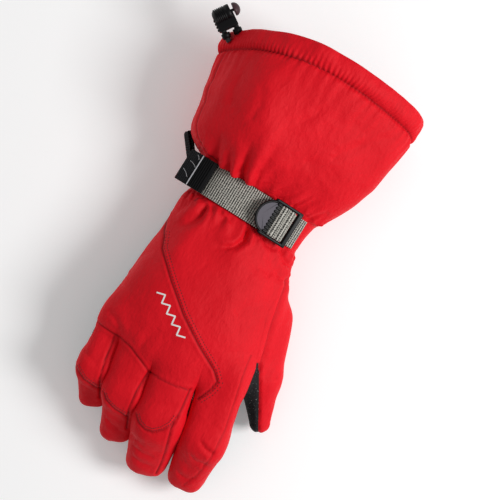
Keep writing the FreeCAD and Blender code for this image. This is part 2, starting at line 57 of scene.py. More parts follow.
MM = 0.001


def joint_point(name):
    """Where a joint of the frame is, in millimetres."""
    joint = next(item for item in frame["joints"] if item["name"] == name)
    return np.array(joint["pos_m"]) / MM


# ---------------------------------------------------------------- node helpers
def new_material(name, colour, roughness, **inputs):
    """A material with a Principled shader, and its node tree and shader. Further inputs of
    the shader are given by name, with _ for a space."""
    material = bpy.data.materials.new(name)
    material.use_nodes = True
    tree = material.node_tree
    shader = tree.nodes["Principled BSDF"]
    shader.inputs["Base Color"].default_value = (*colour, 1)
    shader.inputs["Roughness"].default_value = roughness
    for key, value in inputs.items():
        shader.inputs[key.replace("_", " ")].default_value = value
    material.diffuse_color = (*colour, 1)
    return material, tree, shader


def add(tree, kind, **settings):
    node = tree.nodes.new(kind)
    for key, value in settings.items():
        setattr(node, key, value)
    return node


def set_input(tree, node, key, value):
    """Joins a socket to an input, or gives the input a plain value."""
    if isinstance(value, bpy.types.NodeSocket):
        tree.links.new(value, node.inputs[key])
    else:
        node.inputs[key].default_value = value


def maths(tree, operation, first, second=0.0):
    node = add(tree, "ShaderNodeMath", operation=operation)
    set_input(tree, node, 0, first)
    set_input(tree, node, 1, second)
    return node.outputs[0]


def noise(tree, coordinates, scale, detail=2.0, roughness=0.5):
    node = add(tree, "ShaderNodeTexNoise")
    set_input(tree, node, "Vector", coordinates)
    set_input(tree, node, "Scale", scale)
    set_input(tree, node, "Detail", detail)
    set_input(tree, node, "Roughness", roughness)
    return node.outputs["Fac"]


def stretched(tree, coordinates, scale):
    node = add(tree, "ShaderNodeVectorMath", operation="MULTIPLY")
    set_input(tree, node, 0, coordinates)
    set_input(tree, node, 1, scale)
    return node.outputs[0]


def ramp(tree, factor, stops):
    """A colour ramp; stops are (place, colour)."""
    node = add(tree, "ShaderNodeValToRGB")
    elements = node.color_ramp.elements
    while len(elements) < len(stops):
        elements.new(0.5)
    for element, (place, colour) in zip(elements, stops):
        element.position = place
        element.color = (*colour, 1)
    set_input(tree, node, 0, factor)
    return node.outputs[0]


def mixed(tree, factor, first, second, kind="MIX"):
    node = add(tree, "ShaderNodeMix", data_type="RGBA", blend_type=kind)
    set_input(tree, node, 0, factor)
    for key, value in ((6, first), (7, second)):
        set_input(tree, node, key, value if isinstance(value, bpy.types.NodeSocket)
                  else (*value, 1))
    return node.outputs[2]


def bump(tree, shader, height, distance, strength=1.0):
    node = add(tree, "ShaderNodeBump")
    set_input(tree, node, "Height", height)
    node.inputs["Distance"].default_value = distance
    node.inputs["Strength"].default_value = strength
    tree.links.new(node.outputs[0], shader.inputs["Normal"])


def object_place(tree):
    return add(tree, "ShaderNodeTexCoord").outputs["Object"]


def split_axes(tree, coordinates):
    node = add(tree, "ShaderNodeSeparateXYZ")
    set_input(tree, node, 0, coordinates)
    return node.outputs


# ---------------------------------------------------------------- materials
RED = (0.74, 0.0055, 0.0145)
# dark red mixed into the shell's colour as painted shade in the seam grooves
SEAM_SHADE_RED = (0.16, 0.002, 0.005)


def red_shell():
    """Softshell: fine weave drawn along the glove, faint colour change, soft sheen, and painted
    shade in the seam grooves.
    """
    material, tree, shader = new_material("red_shell", RED, 0.62, Sheen_Weight=0.035,
                                          Sheen_Roughness=0.35, Sheen_Tint=(1.0, 0.45, 0.5, 1),
                                          Specular_IOR_Level=0.13)
    place = object_place(tree)
    broad = noise(tree, place, 22.0, 3.0)
    colour = ramp(tree, broad, ((0.3, (0.69, 0.0045, 0.0125)), (0.7, (0.79, 0.0065, 0.0165))))
    threads = noise(tree, stretched(tree, place, (1500, 260, 1500)), 1.0, 2.0, 0.6)
    picks = noise(tree, stretched(tree, place, (300, 1500, 300)), 1.0, 1.0, 0.5)
    weave = maths(tree, "ADD", threads, maths(tree, "MULTIPLY", picks, 0.6))
    shade = ramp(tree, threads, ((0.25, (0.80, 0.80, 0.80)), (0.75, (1.0, 1.0, 1.0))))
    woven = mixed(tree, 0.5, colour, shade, "MULTIPLY")
    # painted shade in the seam grooves: the colour is mixed towards the dark red by the seam
    # attribute
    seam = add(tree, "ShaderNodeAttribute", attribute_name="seam").outputs["Fac"]
    tree.links.new(mixed(tree, seam, woven, SEAM_SHADE_RED), shader.inputs["Base Color"])
    creases = noise(tree, stretched(tree, place, (80, 48, 80)), 1.0, 5.0, 0.62)
    crinkle = noise(tree, stretched(tree, place, (150, 85, 150)), 1.0, 3.0, 0.55)
    ridges = maths(tree, "ABSOLUTE", maths(tree, "SUBTRACT", crinkle, 0.5))
    height = maths(tree, "SUBTRACT", creases, maths(tree, "MULTIPLY", ridges, 0.9))
    height = maths(tree, "ADD", maths(tree, "MULTIPLY", weave, 0.09), height)
    bump(tree, shader, height, 0.0016, 0.7)
    return material


def grip_black():
    """Grained synthetic grip with printed specks."""
    material, tree, shader = new_material("grip_black", (0.012, 0.012, 0.014), 0.7,
                                          Specular_IOR_Level=0.25)
    place = object_place(tree)
    grain = add(tree, "ShaderNodeTexVoronoi", feature="F1")
    set_input(tree, grain, "Vector", place)
    grain.inputs["Scale"].default_value = 520
    specks = noise(tree, place, 620.0, 3.0, 0.75)
    colour = ramp(tree, specks, ((0.0, (0.005, 0.005, 0.006)), (0.64, (0.008, 0.008, 0.009)),
                                 (0.68, (0.45, 0.45, 0.45))))
    tree.links.new(colour, shader.inputs["Base Color"])
    bump(tree, shader, grain.outputs["Distance"], 0.0005, 0.8)
    return material


def liner_black():
    """Brushed fleece."""
    material, tree, shader = new_material("liner_black", (0.025, 0.025, 0.028), 0.95,
                                          Sheen_Weight=0.5, Sheen_Roughness=0.6)
    place = object_place(tree)
    pile = noise(tree, place, 700.0, 4.0, 0.7)
    colour = ramp(tree, pile, ((0.3, (0.012, 0.012, 0.014)), (0.7, (0.05, 0.05, 0.055))))
    tree.links.new(colour, shader.inputs["Base Color"])
    bump(tree, shader, pile, 0.0012, 0.8)
    return material


def twill(name, dark, light, pitch=1.7):
    """Webbing: V-shaped ribs of light and dark yarns, from the strip's own UV in mm."""
    material, tree, shader = new_material(name, light, 0.75, Specular_IOR_Level=0.2)
    uv = add(tree, "ShaderNodeUVMap", uv_map="strip").outputs[0]
    along, across, _ = split_axes(tree, stretched(tree, uv, (1000, 1000, 1000)))
    fold = maths(tree, "PINGPONG", across, 0.75)
    slant = maths(tree, "ADD", along, maths(tree, "MULTIPLY", fold, 0.55))
    rib = maths(tree, "SINE", maths(tree, "MULTIPLY", slant, 2 * math.pi / pitch))
    rib = maths(tree, "MULTIPLY", rib, 1.4)
    column = maths(tree, "SINE", maths(tree, "MULTIPLY", across, 2 * math.pi / 1.45))
    grain = noise(tree, stretched(tree, uv, (700, 700, 1)), 1.0, 2.0, 0.6)
    mix = maths(tree, "ADD", maths(tree, "MULTIPLY", rib, 0.24),
                maths(tree, "MULTIPLY", column, 0.10))
    mix = maths(tree, "ADD", mix, grain)
    middle = tuple(0.5 * (d + l) for d, l in zip(dark, light))
    colour = ramp(tree, mix, ((0.20, dark), (0.52, middle), (0.84, light)))
    tree.links.new(colour, shader.inputs["Base Color"])
    bump(tree, shader, mix, 0.0006, 0.9)
    return material


def moulded(name, colour, roughness):
    """Moulded plastic with a faint grain."""
    material, tree, shader = new_material(name, colour, roughness, Specular_IOR_Level=0.2)
    bump(tree, shader, noise(tree, object_place(tree), 900.0, 2.0), 0.00012, 0.5)
    return material


def thread(name, colour):
    return new_material(name, colour, 0.8)[0]


def braided():
    """Elastic cord: two crossing sets of yarns."""
    material, tree, shader = new_material("cord_black", (0.012, 0.012, 0.013), 0.6)
    yarns = noise(tree, object_place(tree), 900.0, 1.0)
    bump(tree, shader, yarns, 0.0004, 0.8)
    return material


MATERIALS = {
    "red_shell": red_shell(),
    "grip_black": grip_black(),
    "liner_black": liner_black(),
    "grey_webbing": twill("grey_webbing", (0.020, 0.020, 0.018), (0.58, 0.56, 0.50)),
    "black_webbing": twill("black_webbing", (0.0015, 0.0015, 0.002), (0.012, 0.012, 0.015)),
    "black_plastic": moulded("black_plastic", (0.002, 0.002, 0.0025), 0.42),
    "tab_grey": moulded("tab_grey", (0.10, 0.09, 0.11), 0.5),
    "tab_black": moulded("tab_black", (0.0025, 0.0025, 0.003), 0.75),
    "button_plum": moulded("button_plum", (0.060, 0.030, 0.034), 0.40),
    "cord_black": braided(),
    "label_white": thread("label_white", (0.8, 0.8, 0.78)),
    # red thread darkened with painted shade of the stitch holes
    "stitch_red_painted_shade": thread("stitch_red_painted_shade", (0.20, 0.004, 0.009)),
    # pale thread for the pull tab's stitch line, also used for painted glints on its folds
    "pale_stitch_and_glint": thread("pale_stitch_and_glint", (0.45, 0.45, 0.47)),
    "spring_steel": new_material("spring_steel", (0.55, 0.55, 0.55), 0.3, Metallic=1.0)[0],
}


# ---------------------------------------------------------------- mesh helpers
def mesh_object(name, points, faces, material, normals=None, smooth=True):
    """A mesh of millimetre points; faces all have the same number of corners."""
    faces = np.asarray(faces)
    mesh = bpy.data.meshes.new(name)
    mesh.vertices.add(len(points))
    mesh.vertices.foreach_set("co", (np.asarray(points) * MM).astype(np.float32).ravel())
    corners = faces.shape[1]
    mesh.loops.add(faces.size)
    mesh.loops.foreach_set("vertex_index", faces.astype(np.int32).ravel())
    mesh.polygons.add(len(faces))
    mesh.polygons.foreach_set("loop_start", np.arange(0, faces.size, corners, dtype=np.int32))
    mesh.update(calc_edges=True)
    mesh.validate()
    mesh.polygons.foreach_set("use_smooth", np.full(len(mesh.polygons), smooth))
    if normals is not None:
        mesh.normals_split_custom_set_from_vertices(normals.astype(np.float32))
    obj = bpy.data.objects.new(name, mesh)
    bpy.context.collection.objects.link(obj)
    mesh.materials.append(MATERIALS[material])
    return obj


def joined(parts):
    """Several (points, faces) as one."""
    points, faces, count = [], [], 0
    for part_points, part_faces in parts:
        points.append(np.asarray(part_points, float))
        faces.append(np.asarray(part_faces) + count)
        count += len(part_points)
    return np.concatenate(points), np.concatenate(faces)


def grid_faces(rows, columns, close_columns=False, flip=False):
    """Quads over a rows x columns lattice of points."""
    row = np.arange(rows - 1)
    column = np.arange(columns if close_columns else columns - 1)
    i, j = np.meshgrid(row, column, indexing="ij")
    following = (j + 1) % columns
    quads = np.stack([i * columns + j, i * columns + following,
                      (i + 1) * columns + following, (i + 1) * columns + j], -1)
    quads = quads.reshape(-1, 4)
    return quads[:, ::-1] if flip else quads


def belongs(obj, body, slot, *nodes):
    """The piece rides on a body and stands for CAD nodes, which it hides. The slot is not used."""
    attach(obj, body)
    if nodes:
        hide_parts(*nodes)
    return obj


def runs_of(line):
    """Lengths of a line's runs, and how far along the line each of its points is."""
    lengths = np.linalg.norm(np.diff(line, axis=0), axis=1)
    return lengths, np.concatenate([[0], np.cumsum(lengths)])


def arc_points(x, y, radius_x, radius_y, first, last, count):
    """Points round an ellipse from one angle to another, in degrees."""
    return [(x + radius_x * math.cos(a), y + radius_y * math.sin(a))
            for a in np.radians(np.linspace(first, last, count))]


def unit(vectors):
    vectors = np.asarray(vectors, float)
    return vectors / np.maximum(np.linalg.norm(vectors, axis=-1, keepdims=True), 1e-9)


def smoothstep(value, low=0.0, high=1.0):
    t = np.clip((value - low) / (high - low), 0, 1)
    return t * t * (3 - 2 * t)


def smooth_min(a, b, reach):
    blend = np.maximum(reach - np.abs(a - b), 0) / reach
    return np.minimum(a, b) - blend * blend * reach * 0.25


def smooth_max(a, b, reach):
    return -smooth_min(-a, -b, reach)


class Waves:
    """Smooth seeded noise: a sum of plane waves about one wavelength."""

    def __init__(self, seed, wavelength, squeeze=(1, 1, 1), count=22):
        random = np.random.default_rng(seed)
        direction = unit(random.normal(size=(count, 3)))
        length = wavelength * random.uniform(0.7, 1.5, count)
        self.k = direction * (2 * math.pi / length)[:, None] * np.array(squeeze)
        self.phase = random.uniform(0, 2 * math.pi, count)
        self.scale = math.sqrt(2 / count)

    def __call__(self, points):
        total = np.zeros(len(points))
        for k, phase in zip(self.k, self.phase):
            total += np.sin(points @ k + phase)
        return total * self.scale


# ---------------------------------------------------------------- the glove's outside
# Outline of hand and gauntlet: place along the glove, left, right, underside, top.
HULL = np.array([
    (200, -77, 77, -4, 85), (146, -76.5, 76.5, -4, 83.5), (131, -77, 74, -4, 83.5),
    (118, -75.5, 71.5, -4, 83), (104, -74, 67.5, -4, 81.5), (88, -72, 64, -4, 78),
    (76, -71.5, 58, -4, 73.5), (68, -69.5, 51, -4, 67.5), (60, -65, 44, -4, 62.5),
    (55, -59, 41, -4, 59.5), (52.5, -55.5, 38.5, -4, 56.5), (41, -54, 35, -4, 54.6),
    (29.5, -54, 33.2, -4, 54.6), (27, -56, 33.8, -4, 57.2), (22, -57.5, 34.5, -4, 58.8),
    (12, -58.5, 35.5, -4, 60), (0, -60, 39, -3, 62), (-18, -65, 39.5, -1, 64.5),
    (-37, -70, 40, 3, 66), (-50, -72, 40.5, 10, 66), (-62, -72.5, 41, 17, 64.5),
    (-75, -73.5, 41.5, 25, 61), (-92, -74, 42, 31, 55), (-120, -74, 42, 33, 48)])[::-1]
# How square the outline's cross-sections are: lens-shaped at the mouth, fuller at the hand.
SQUARENESS = ((-60, 2.35), (20, 2.2), (60, 2.1), (100, 1.9), (140, 1.78), (170, 1.75))
# The crest of the back lies towards the outer side by this share of the half-width.
CREST = ((-95, 0.05), (-50, 0.16), (0, 0.26), (60, 0.30), (120, 0.30), (150, 0.16))
# Where the hand's own form ends between the fingers: place across and place along.
HAND_FRONT = ((-75, -76), (-55, -79), (-26, -88), (8, -88), (45, -84))
LOWEST = 0.4
STRAP_LINE, STRAP_TURN = 41.0, math.radians(-7)
MOUTH_Y, MOUTH_Z, MOUTH_LEAN = 146.5, 42.0, math.radians(21)
MOUTH_SLOPE = math.tan(MOUTH_LEAN)
HEM_WIDTH = 14.5


def smoothed_outline():
    """The outline at every half millimetre, rounded over its corners."""
    fine = np.arange(-150, 230, 0.5)
    sigma, half = 1.9, 20
    kernel = np.exp(-0.5 * (np.arange(-half, half + 1) * 0.5 / sigma) ** 2)
    kernel /= kernel.sum()
    columns = [np.interp(fine, HULL[:, 0], HULL[:, i]) for i in range(1, 5)]
    return fine, [np.convolve(np.pad(c, half, mode="edge"), kernel, mode="valid")
                  for c in columns]


OUTLINE_Y, OUTLINE = smoothed_outline()


def along_strap(x, y):
    """The place along the glove, skewed near the wrist so that the waist lies with the
    strap."""
    near = smoothstep(45 - np.abs(y - STRAP_LINE), 0, 30)
    return y - np.tan(STRAP_TURN) * x * near


def outline_at(x, y):
    place = along_strap(x, y)
    return [np.interp(place, OUTLINE_Y, column) for column in OUTLINE]


def squareness(y, outer):
    """How square a cross-section is; its outer side gets leaner towards the mouth."""
    return np.interp(y, *zip(*SQUARENESS)) - 0.33 * outer * smoothstep(y, 105, 145)


def hull_height(x, y, z):
    """Signed distance to hand and gauntlet, below zero inside."""
    left, right, low, top = outline_at(x, y)
    half_width, half_height = (right - left) / 2, (top - low) / 2
    u = (x - (left + right) / 2) / half_width
    v = (z - (top + low) / 2) / half_height
    u = u + np.interp(y, *zip(*CREST)) * np.maximum(1 - u * u, 0) * smoothstep(v, 0, 0.7)
    power = squareness(y, smoothstep(-u, -0.25, 0.5))
    size = (np.abs(u) ** power + np.abs(v) ** power) ** (1 / power)
    steep = np.sqrt((u / half_width) ** 2 + (v / half_height) ** 2)
    body = size * (size - 1) / np.maximum(steep, 1e-4)
    closed = smooth_max(body, np.interp(x, *zip(*HAND_FRONT)) - y, 10)
    return smooth_max(closed, LOWEST - z, 5)


# Each finger: knuckle, middle joint and tip with their radii, and how much lower than wide.
FINGERS = {
    "index": (((23.8, -74.0, 42.0, 18.0), (29.4, -121.0, 38.5, 15.8),
               (29.6, -150.0, 20.5, 13.8)), 1.08),
    "middle": (((-8.0, -72.0, 44.5, 16.8), (-4.2, -121.6, 39.5, 17.9),
                (-1.0, -149.0, 20.5, 15.9)), 1.14),
    "ring": (((-39.9, -68.0, 42.0, 14.9), (-36.2, -114.5, 37.0, 14.6),
              (-30.8, -138.8, 19.5, 13.2)), 1.04),
    "pinky": (((-60.8, -66.0, 36.5, 11.6), (-61.0, -107.0, 32.5, 12.4),
               (-55.4, -126.0, 18.0, 11.2)), 1.0),
    "thumb": (((36.6, -24.5, 21.0, 15.8), (48.0, -66.0, 18.8, 15.8),
               (61.6, -95.6, 15.0, 7.8)), 1.0),
}
# How softly each finger's root runs into the hand.
FILLET = {"index": 7, "middle": 7, "ring": 7, "pinky": 7, "thumb": 13}


def stall(points, start, end, flat, square=2.9, blunt=2.5):
    """Signed distance to a tapering rod of squarish section with a blunt end, flattened
    from top to bottom."""
    scale = np.array([1, 1, flat])
    a, b = np.array(start[:3]) * scale, np.array(end[:3]) * scale
    x, y, z = points
    rod = b - a
    length = np.linalg.norm(rod)
    ahead = rod / length
    side = unit(np.array([-ahead[1], ahead[0], 0.0]))
    up = np.cross(ahead, side)
    x, y, z = x - a[0], y - a[1], z * flat - a[2]
    passed = x * ahead[0] + y * ahead[1] + z * ahead[2]
    share = np.clip(passed / length, 0, 1)
    beyond = np.abs(passed - share * length)
    across = np.abs(x * side[0] + y * side[1])
    over = np.abs(x * up[0] + y * up[1] + z * up[2])
    round_it = (across ** square + over ** square + 1e-9) ** (1 / square)
    far = (round_it ** blunt + beyond ** blunt) ** (1 / blunt)
    return far - (start[3] + share * (end[3] - start[3]))


def finger_height(name, x, y, z):
    (knuckle, middle, tip), flat = FINGERS[name]
    round_thumb = {"square": 2.2, "blunt": 2.1} if name == "thumb" else {}
    first = stall((x, y, z), knuckle, middle, flat, **round_thumb)
    second = stall((x, y, z), middle, tip, flat, **round_thumb)
    return smooth_min(first, second, 5)


CELL = 1.05


def surface_of(field, low, high):
    """Points and quads of a field's zero surface inside a box, moved onto it exactly. The
    closing faces on the box itself are left out."""
    axes = [np.arange(low[i], high[i], CELL) for i in range(3)]
    x, y, z = np.meshgrid(*axes, indexing="ij", sparse=True)
    values = np.ascontiguousarray(field(x, y, z), dtype=np.float32)
    volume = openvdb.FloatGrid(20.0)
    volume.copyFromArray(values)
    points, quads = volume.convertToQuads(0.0)
    points = np.array(points, float) * CELL + np.array(low)
    margin = 2 * CELL
    within = ((points > np.array(low) + margin) & (points < np.array(high) - margin)).all(1)
    quads = np.array(quads)
    used, quads = np.unique(quads[within[quads].all(1)], return_inverse=True)
    points, quads = points[used], quads.reshape(-1, 4)
    for _ in range(4):
        height, slope = height_and_slope(field, points)
        points -= step_down(height, slope) * 0.9
    return points, quads


def step_down(height, slope):
    """The way from a point to where the height is zero, short where the field is level."""
    return slope * (height / np.maximum((slope ** 2).sum(1), 0.05))[:, None]


def height_and_slope(field, points):
    step = 0.25
    height = field(*points.T)
    slope = np.empty_like(points)
    for axis in range(3):
        ahead, behind = points.copy(), points.copy()
        ahead[:, axis] += step
        behind[:, axis] -= step
        slope[:, axis] = (field(*ahead.T) - field(*behind.T)) / (2 * step)
    return height, slope


def facing_out(points, quads, slope):
    """Triangles of the quads, wound so that they face up the slope."""
    triangles = np.concatenate([quads[:, [0, 1, 2]], quads[:, [0, 2, 3]]])
    a, b, c = (points[triangles[:, i]] for i in range(3))
    normal = np.cross(b - a, c - a)
    inward = (normal * slope[triangles[:, 0]]).sum(1) < 0
    triangles[inward] = triangles[inward][:, ::-1]
    return triangles


def vertex_normals(points, triangles):
    a, b, c = (points[triangles[:, i]] for i in range(3))
    face = np.cross(b - a, c - a)
    normals = np.zeros_like(points)
    for i in range(3):
        for axis in range(3):
            normals[:, axis] += np.bincount(triangles[:, i], face[:, axis], len(points))
    return unit(normals)


# ---------------------------------------------------------------- seams and folds
# Lines on the back of the glove, seen from above.
DIAGONAL_SEAM = [(-59, 12), (-57.5, 1), (-53.5, -11), (-37.6, -28.6), (-19.9, -46.6),
                 (-0.3, -62.2), (15.7, -73.3), (21.3, -80), (19, -87.1), (13.2, -96)]
KNUCKLE_SEAM = [(-74, -77), (-65, -79), (-56, -80.5), (-44, -83), (-34, -88), (-26, -93),
                (-16, -94), (-4, -94), (7, -92.5)]
THUMB_SEAM = [(35.5, 6), (36.9, -6.2), (38.3, -25.7), (42.6, -48.3), (44.5, -60)]
INDEX_SEAM = [(35.1, -46), (36.4, -68.5), (38.6, -88), (40.2, -108), (39.6, -128), (36, -147),
              (31, -158)]
MIDDLE_SEAM = [(6.6, -92), (6.6, -108), (5.8, -122), (8.2, -136), (9.6, -148), (10, -160)]
RING_SEAM = [(-26, -94), (-27.4, -110), (-26.8, -124), (-23, -138)]
PINKY_SEAM = [(-57.4, -82), (-56.6, -98), (-54.6, -113), (-49, -128)]
PINKY_TIP = [(-74, -112), (-65, -118.5), (-56, -121), (-48, -121)]
RING_TIP = [(-48, -121), (-44.5, -125), (-36, -128.5), (-26, -129.5)]
MIDDLE_TIP = [(-21, -124), (-17, -128.5), (-11, -131), (-5, -130.5), (1, -126), (5, -120),
              (6.5, -114)]
INDEX_TIP = [(17.5, -124), (20, -131), (27, -139), (37, -142)]

# Creases: line, depth at its start and end, width at its start and end.
CREASES = [
    ([(-21, 52), (-25.0, 62), (-27.5, 84)], 6.4, 0.5, 1.9, 4.4),
    ([(-30, 52), (-34, 60), (-40, 76)], 4.4, 0.3, 1.6, 3.8),
    ([(-41, 53), (-46, 63), (-50, 82)], 3.8, 0.3, 1.7, 4.4),
    ([(-52, 57), (-59, 64), (-66, 70)], 2.6, 0.8, 1.8, 3.0),
    ([(-13, 54), (-14, 66), (-10, 92)], 2.2, 0.2, 1.8, 4.0),
    ([(-34, 92), (-32, 106), (-36, 122)], 0.9, 0.5, 3.0, 3.0),
    ([(-50, 96), (-54, 110), (-53, 124)], 0.9, 0.6, 3.0, 3.0),
    ([(-4, 104), (4, 114), (8, 124)], 0.6, 0.8, 3.4, 2.4),
    ([(26, 92), (36, 104), (46, 116)], 0.5, 0.9, 3.4, 2.4),
    ([(10, 84), (26, 88), (42, 86)], 0.9, 0.2, 3.0, 5.0),
    ([(-8, 53), (-8, 62), (-4, 74)], 1.3, 0.1, 2.2, 5.0),
    ([(4, 52), (8, 60), (16, 69)], 1.8, 0.2, 2.2, 5.0),
    ([(16, 51), (24, 58), (35, 64)], 2.0, 0.3, 2.2, 4.4),
    ([(29, 49), (36, 54), (44, 61)], 1.8, 0.5, 2.0, 3.0),
    ([(-36.8, 31), (-38.5, 21), (-45, 11), (-52, 4)], 4.8, 0.5, 1.6, 4.2),
    ([(-4.4, 29), (-3.6, 18), (-8, 10.7), (-17, 5)], 5.4, 1.2, 1.6, 2.2),
    ([(-22, 28), (-24, 20), (-30, 12)], 2.6, 0.2, 2.0, 4.0),
    ([(-50, 28), (-52, 20), (-57, 12)], 2.2, 0.4, 1.8, 3.0),
    ([(6.9, 26.5), (12, 22), (19.6, 20.4)], 3.4, 1.0, 1.6, 2.2),
    ([(22, 25), (28, 17), (36, 13)], 2.4, 1.4, 1.8, 2.2),
    ([(2, 8), (12, 4), (26, 6)], 0.1, 0.7, 3.0, 4.0),
    ([(-48, -14), (-40, -18), (-34, -14)], 0.6, 0.2, 3.0, 4.0),
    ([(-30, -62), (-36, -72), (-38, -82)], 0.6, 1.2, 4.0, 2.2),
    ([(-70, -66), (-62, -70), (-54, -78)], 0.9, 1.2, 3.0, 2.0),
    ([(24, 8), (31, 5), (38, 4)], 0.9, 1.3, 2.4, 2.0),
    ([(10.5, -32), (24, -19), (36, -6)], 0.9, 0.9, 5.0, 6.0),
    ([(-66, -20), (-60, -18), (-52, -22)], 1.0, 0.1, 2.5, 4.0),
    ([(-72, -47), (-64, -46), (-56, -50)], 0.9, 0.1, 2.5, 4.0),
    ([(27, -121.5), (33, -125.5), (41, -127.0)], 0.5, 1.6, 1.4, 1.8),
    ([(24, -134), (31, -137), (40, -136)], 0.5, 1.1, 1.4, 2.0),
    ([(22, -151), (30, -152.5), (38, -149)], 0.8, 0.6, 1.6, 2.0),
    ([(-15, -146), (-6, -148.5), (4, -147)], 1.0, 0.4, 1.7, 2.0),
    ([(-12, -154), (-4, -156), (6, -155)], 0.8, 0.4, 1.6, 2.0),
    ([(-19, -139), (-12, -141), (-5, -142)], 0.9, 0.2, 1.6, 2.2),
    ([(-40, -138), (-33, -141), (-25, -142)], 0.8, 0.5, 1.6, 2.2),
    ([(-73, -100), (-66, -103), (-60, -104)], 0.9, 0.2, 1.8, 2.6),
    ([(60, -60), (52, -62), (46, -66)], 0.8, 0.2, 1.8, 2.6),
    ([(-77, 96), (-68, 94), (-58, 98)], 1.2, 0.1, 3.0, 6.0),
    ([(-78, 112), (-70, 111), (-62, 116)], 1.0, 0.1, 3.0, 6.0),
]
# Ridges over which the padded shell stands high: line, height, width.
RIDGES = [
    ([(-29, 62), (-31, 90), (-35, 128)], 2.0, 13.0),
    ([(-18, 60), (-19, 76), (-17, 95)], 1.4, 6.0),
    ([(-62, 70), (-64, 95), (-66, 120)], 1.2, 9.0),
    ([(-48, 20), (-46, 6), (-42, -8)], 1.6, 9.0),
    ([(-20, 20), (-15, 14), (-4, 4)], 1.4, 8.0),
    ([(8, 10), (16, -10), (18, -40)], 1.2, 16.0),
    ([(-50, -40), (-40, -60), (-30, -75)], 1.0, 14.0),
]


def polyline_distance(x, y, line):
    """Distance to a line seen from above, and the share of its length passed."""
    line = np.array(line, float)
    lengths, passed = runs_of(line)
    best = np.full(len(x), 1e9)
    share = np.zeros(len(x))
    for i, (a, b) in enumerate(zip(line, line[1:])):
        run = b - a
        t = np.clip(((x - a[0]) * run[0] + (y - a[1]) * run[1]) / (run @ run), 0, 1)
        distance = np.hypot(x - a[0] - t * run[0], y - a[1] - t * run[1])
        nearer = distance < best
        best = np.where(nearer, distance, best)
        share = np.where(nearer, (passed[i] + t * lengths[i]) / passed[-1], share)
    return best, share


def groove(distance, depth, width):
    """A sewn-down line with the padding standing up on both sides of it."""
    d = np.abs(distance)
    return (-depth * np.exp(-(d / width) ** 2)
            + 0.35 * depth * np.exp(-((d - 2.6 * width) / (1.5 * width)) ** 2))


def mouth_distance(points):
    """How far below the mouth's leaning plane a point is, along the glove."""
    along = MOUTH_Y + (points[:, 2] - MOUTH_Z) * MOUTH_SLOPE - points[:, 1]
    return along * math.cos(MOUTH_LEAN)


def round_place(points):
    """Arc length round the glove from its thumb side, roughly, in millimetres."""
    left, right, low, top = outline_at(points[:, 0], points[:, 1])
    u = (points[:, 0] - (left + right) / 2) / ((right - left) / 2)
    v = (points[:, 2] - (top + low) / 2) / ((top - low) / 2)
    return np.arctan2(v, u) * 0.27 * ((right - left) + (top - low)) * 1.08


PUCKER = 2 * math.pi / 3.4     # turns per millimetre of the puckers along the hem's seam
BROAD = Waves(3, 62)
SOFT = Waves(5, 26, (1.1, 0.65, 1.1))
CRUMPLE = Waves(8, 13)
FINE = Waves(9, 7)
GATE = Waves(12, 40)


def cloth_relief(points, normals):
    """How far the padded shell stands out from its plain form, everywhere on the glove."""
    x, y, z = points.T
    upward = smoothstep(normals[:, 2], 0.02, 0.35)
    raised = 0.6 * BROAD(points) + 0.30 * SOFT(points)
    # small crumples only low on the sides and on the fingers
    sides = 0.25 + 0.75 * smoothstep(-normals[:, 2], -0.45, 0.2)
    gate = smoothstep(GATE(points), 0.1, 1.3) * sides
    raised += gate * 0.34 * np.clip(1 - np.abs(CRUMPLE(points)) * 1.4, -1, 1)
    raised += gate * 0.08 * FINE(points)
    deepest = np.zeros(len(points))
    for line, start_depth, end_depth, start_width, end_width in CREASES:
        distance, _ = polyline_distance(x, y, line)
        start, chord = np.array(line[0]), np.subtract(line[-1], line[0])
        share = np.clip((points[:, :2] - start) @ chord / (chord @ chord), 0, 1)
        depth = start_depth + (end_depth - start_depth) * share
        width = start_width + (end_width - start_width) * share
        ends = smoothstep(share, 0.0, 0.12) * (1 - 0.8 * smoothstep(share, 0.8, 1.0))
        valley = np.exp(-(distance / width) ** 1.4)
        shoulder = np.exp(-((distance - 2.1 * width) / (1.4 * width)) ** 2)
        deepest = np.minimum(deepest, -upward * ends * depth * valley)
        raised += upward * ends * depth * 0.4 * shoulder
    raised += deepest
    for line, height, width in RIDGES:
        distance, _ = polyline_distance(x, y, line)
        raised += upward * height * np.exp(-(distance / width) ** 2)
    under_strap = 1 - smoothstep(np.abs(along_strap(x, y) - STRAP_LINE), 10.8, 13.5)
    raised = raised * (1 - under_strap) - 0.5 * under_strap
    raised += strap_gathers(points)
    raised += hem_gathers(points)
    for line, depth, width in ((DIAGONAL_SEAM, 0.8, 0.8), (KNUCKLE_SEAM, 0.75, 0.8)):
        distance, share = polyline_distance(x, y, line)
        strength = np.where(line is KNUCKLE_SEAM, 1 - 0.55 * smoothstep(share, 0.62, 0.8), 1.0)
        raised += upward * strength * groove(distance, depth, width)
    distance, _ = polyline_distance(x, y, THUMB_SEAM)
    raised += smoothstep(normals[:, 2], -0.4, 0.1) * (z > 15) * groove(distance, 1.1, 1.3)
    return raised


def strap_gathers(points):
    """Small folds that start under the strap's two edges."""
    x, y = points[:, 0], points[:, 1]
    beside = np.abs(along_strap(x, y) - STRAP_LINE) - 12.6
    wave = np.sin(round_place(points) * (2 * math.pi / 8.4) + 1.6 * BROAD(points * 2.0))
    wave += 0.6 * np.sin(round_place(points) * (2 * math.pi / 5.1) + 2.4 * SOFT(points))
    reach = np.clip(1 - beside / 22, 0, 1) ** 2 * smoothstep(beside, -0.5, 3.0)
    uneven = 0.35 + 0.65 * smoothstep(GATE(points + 31), -0.6, 0.9)
    return wave * reach * uneven


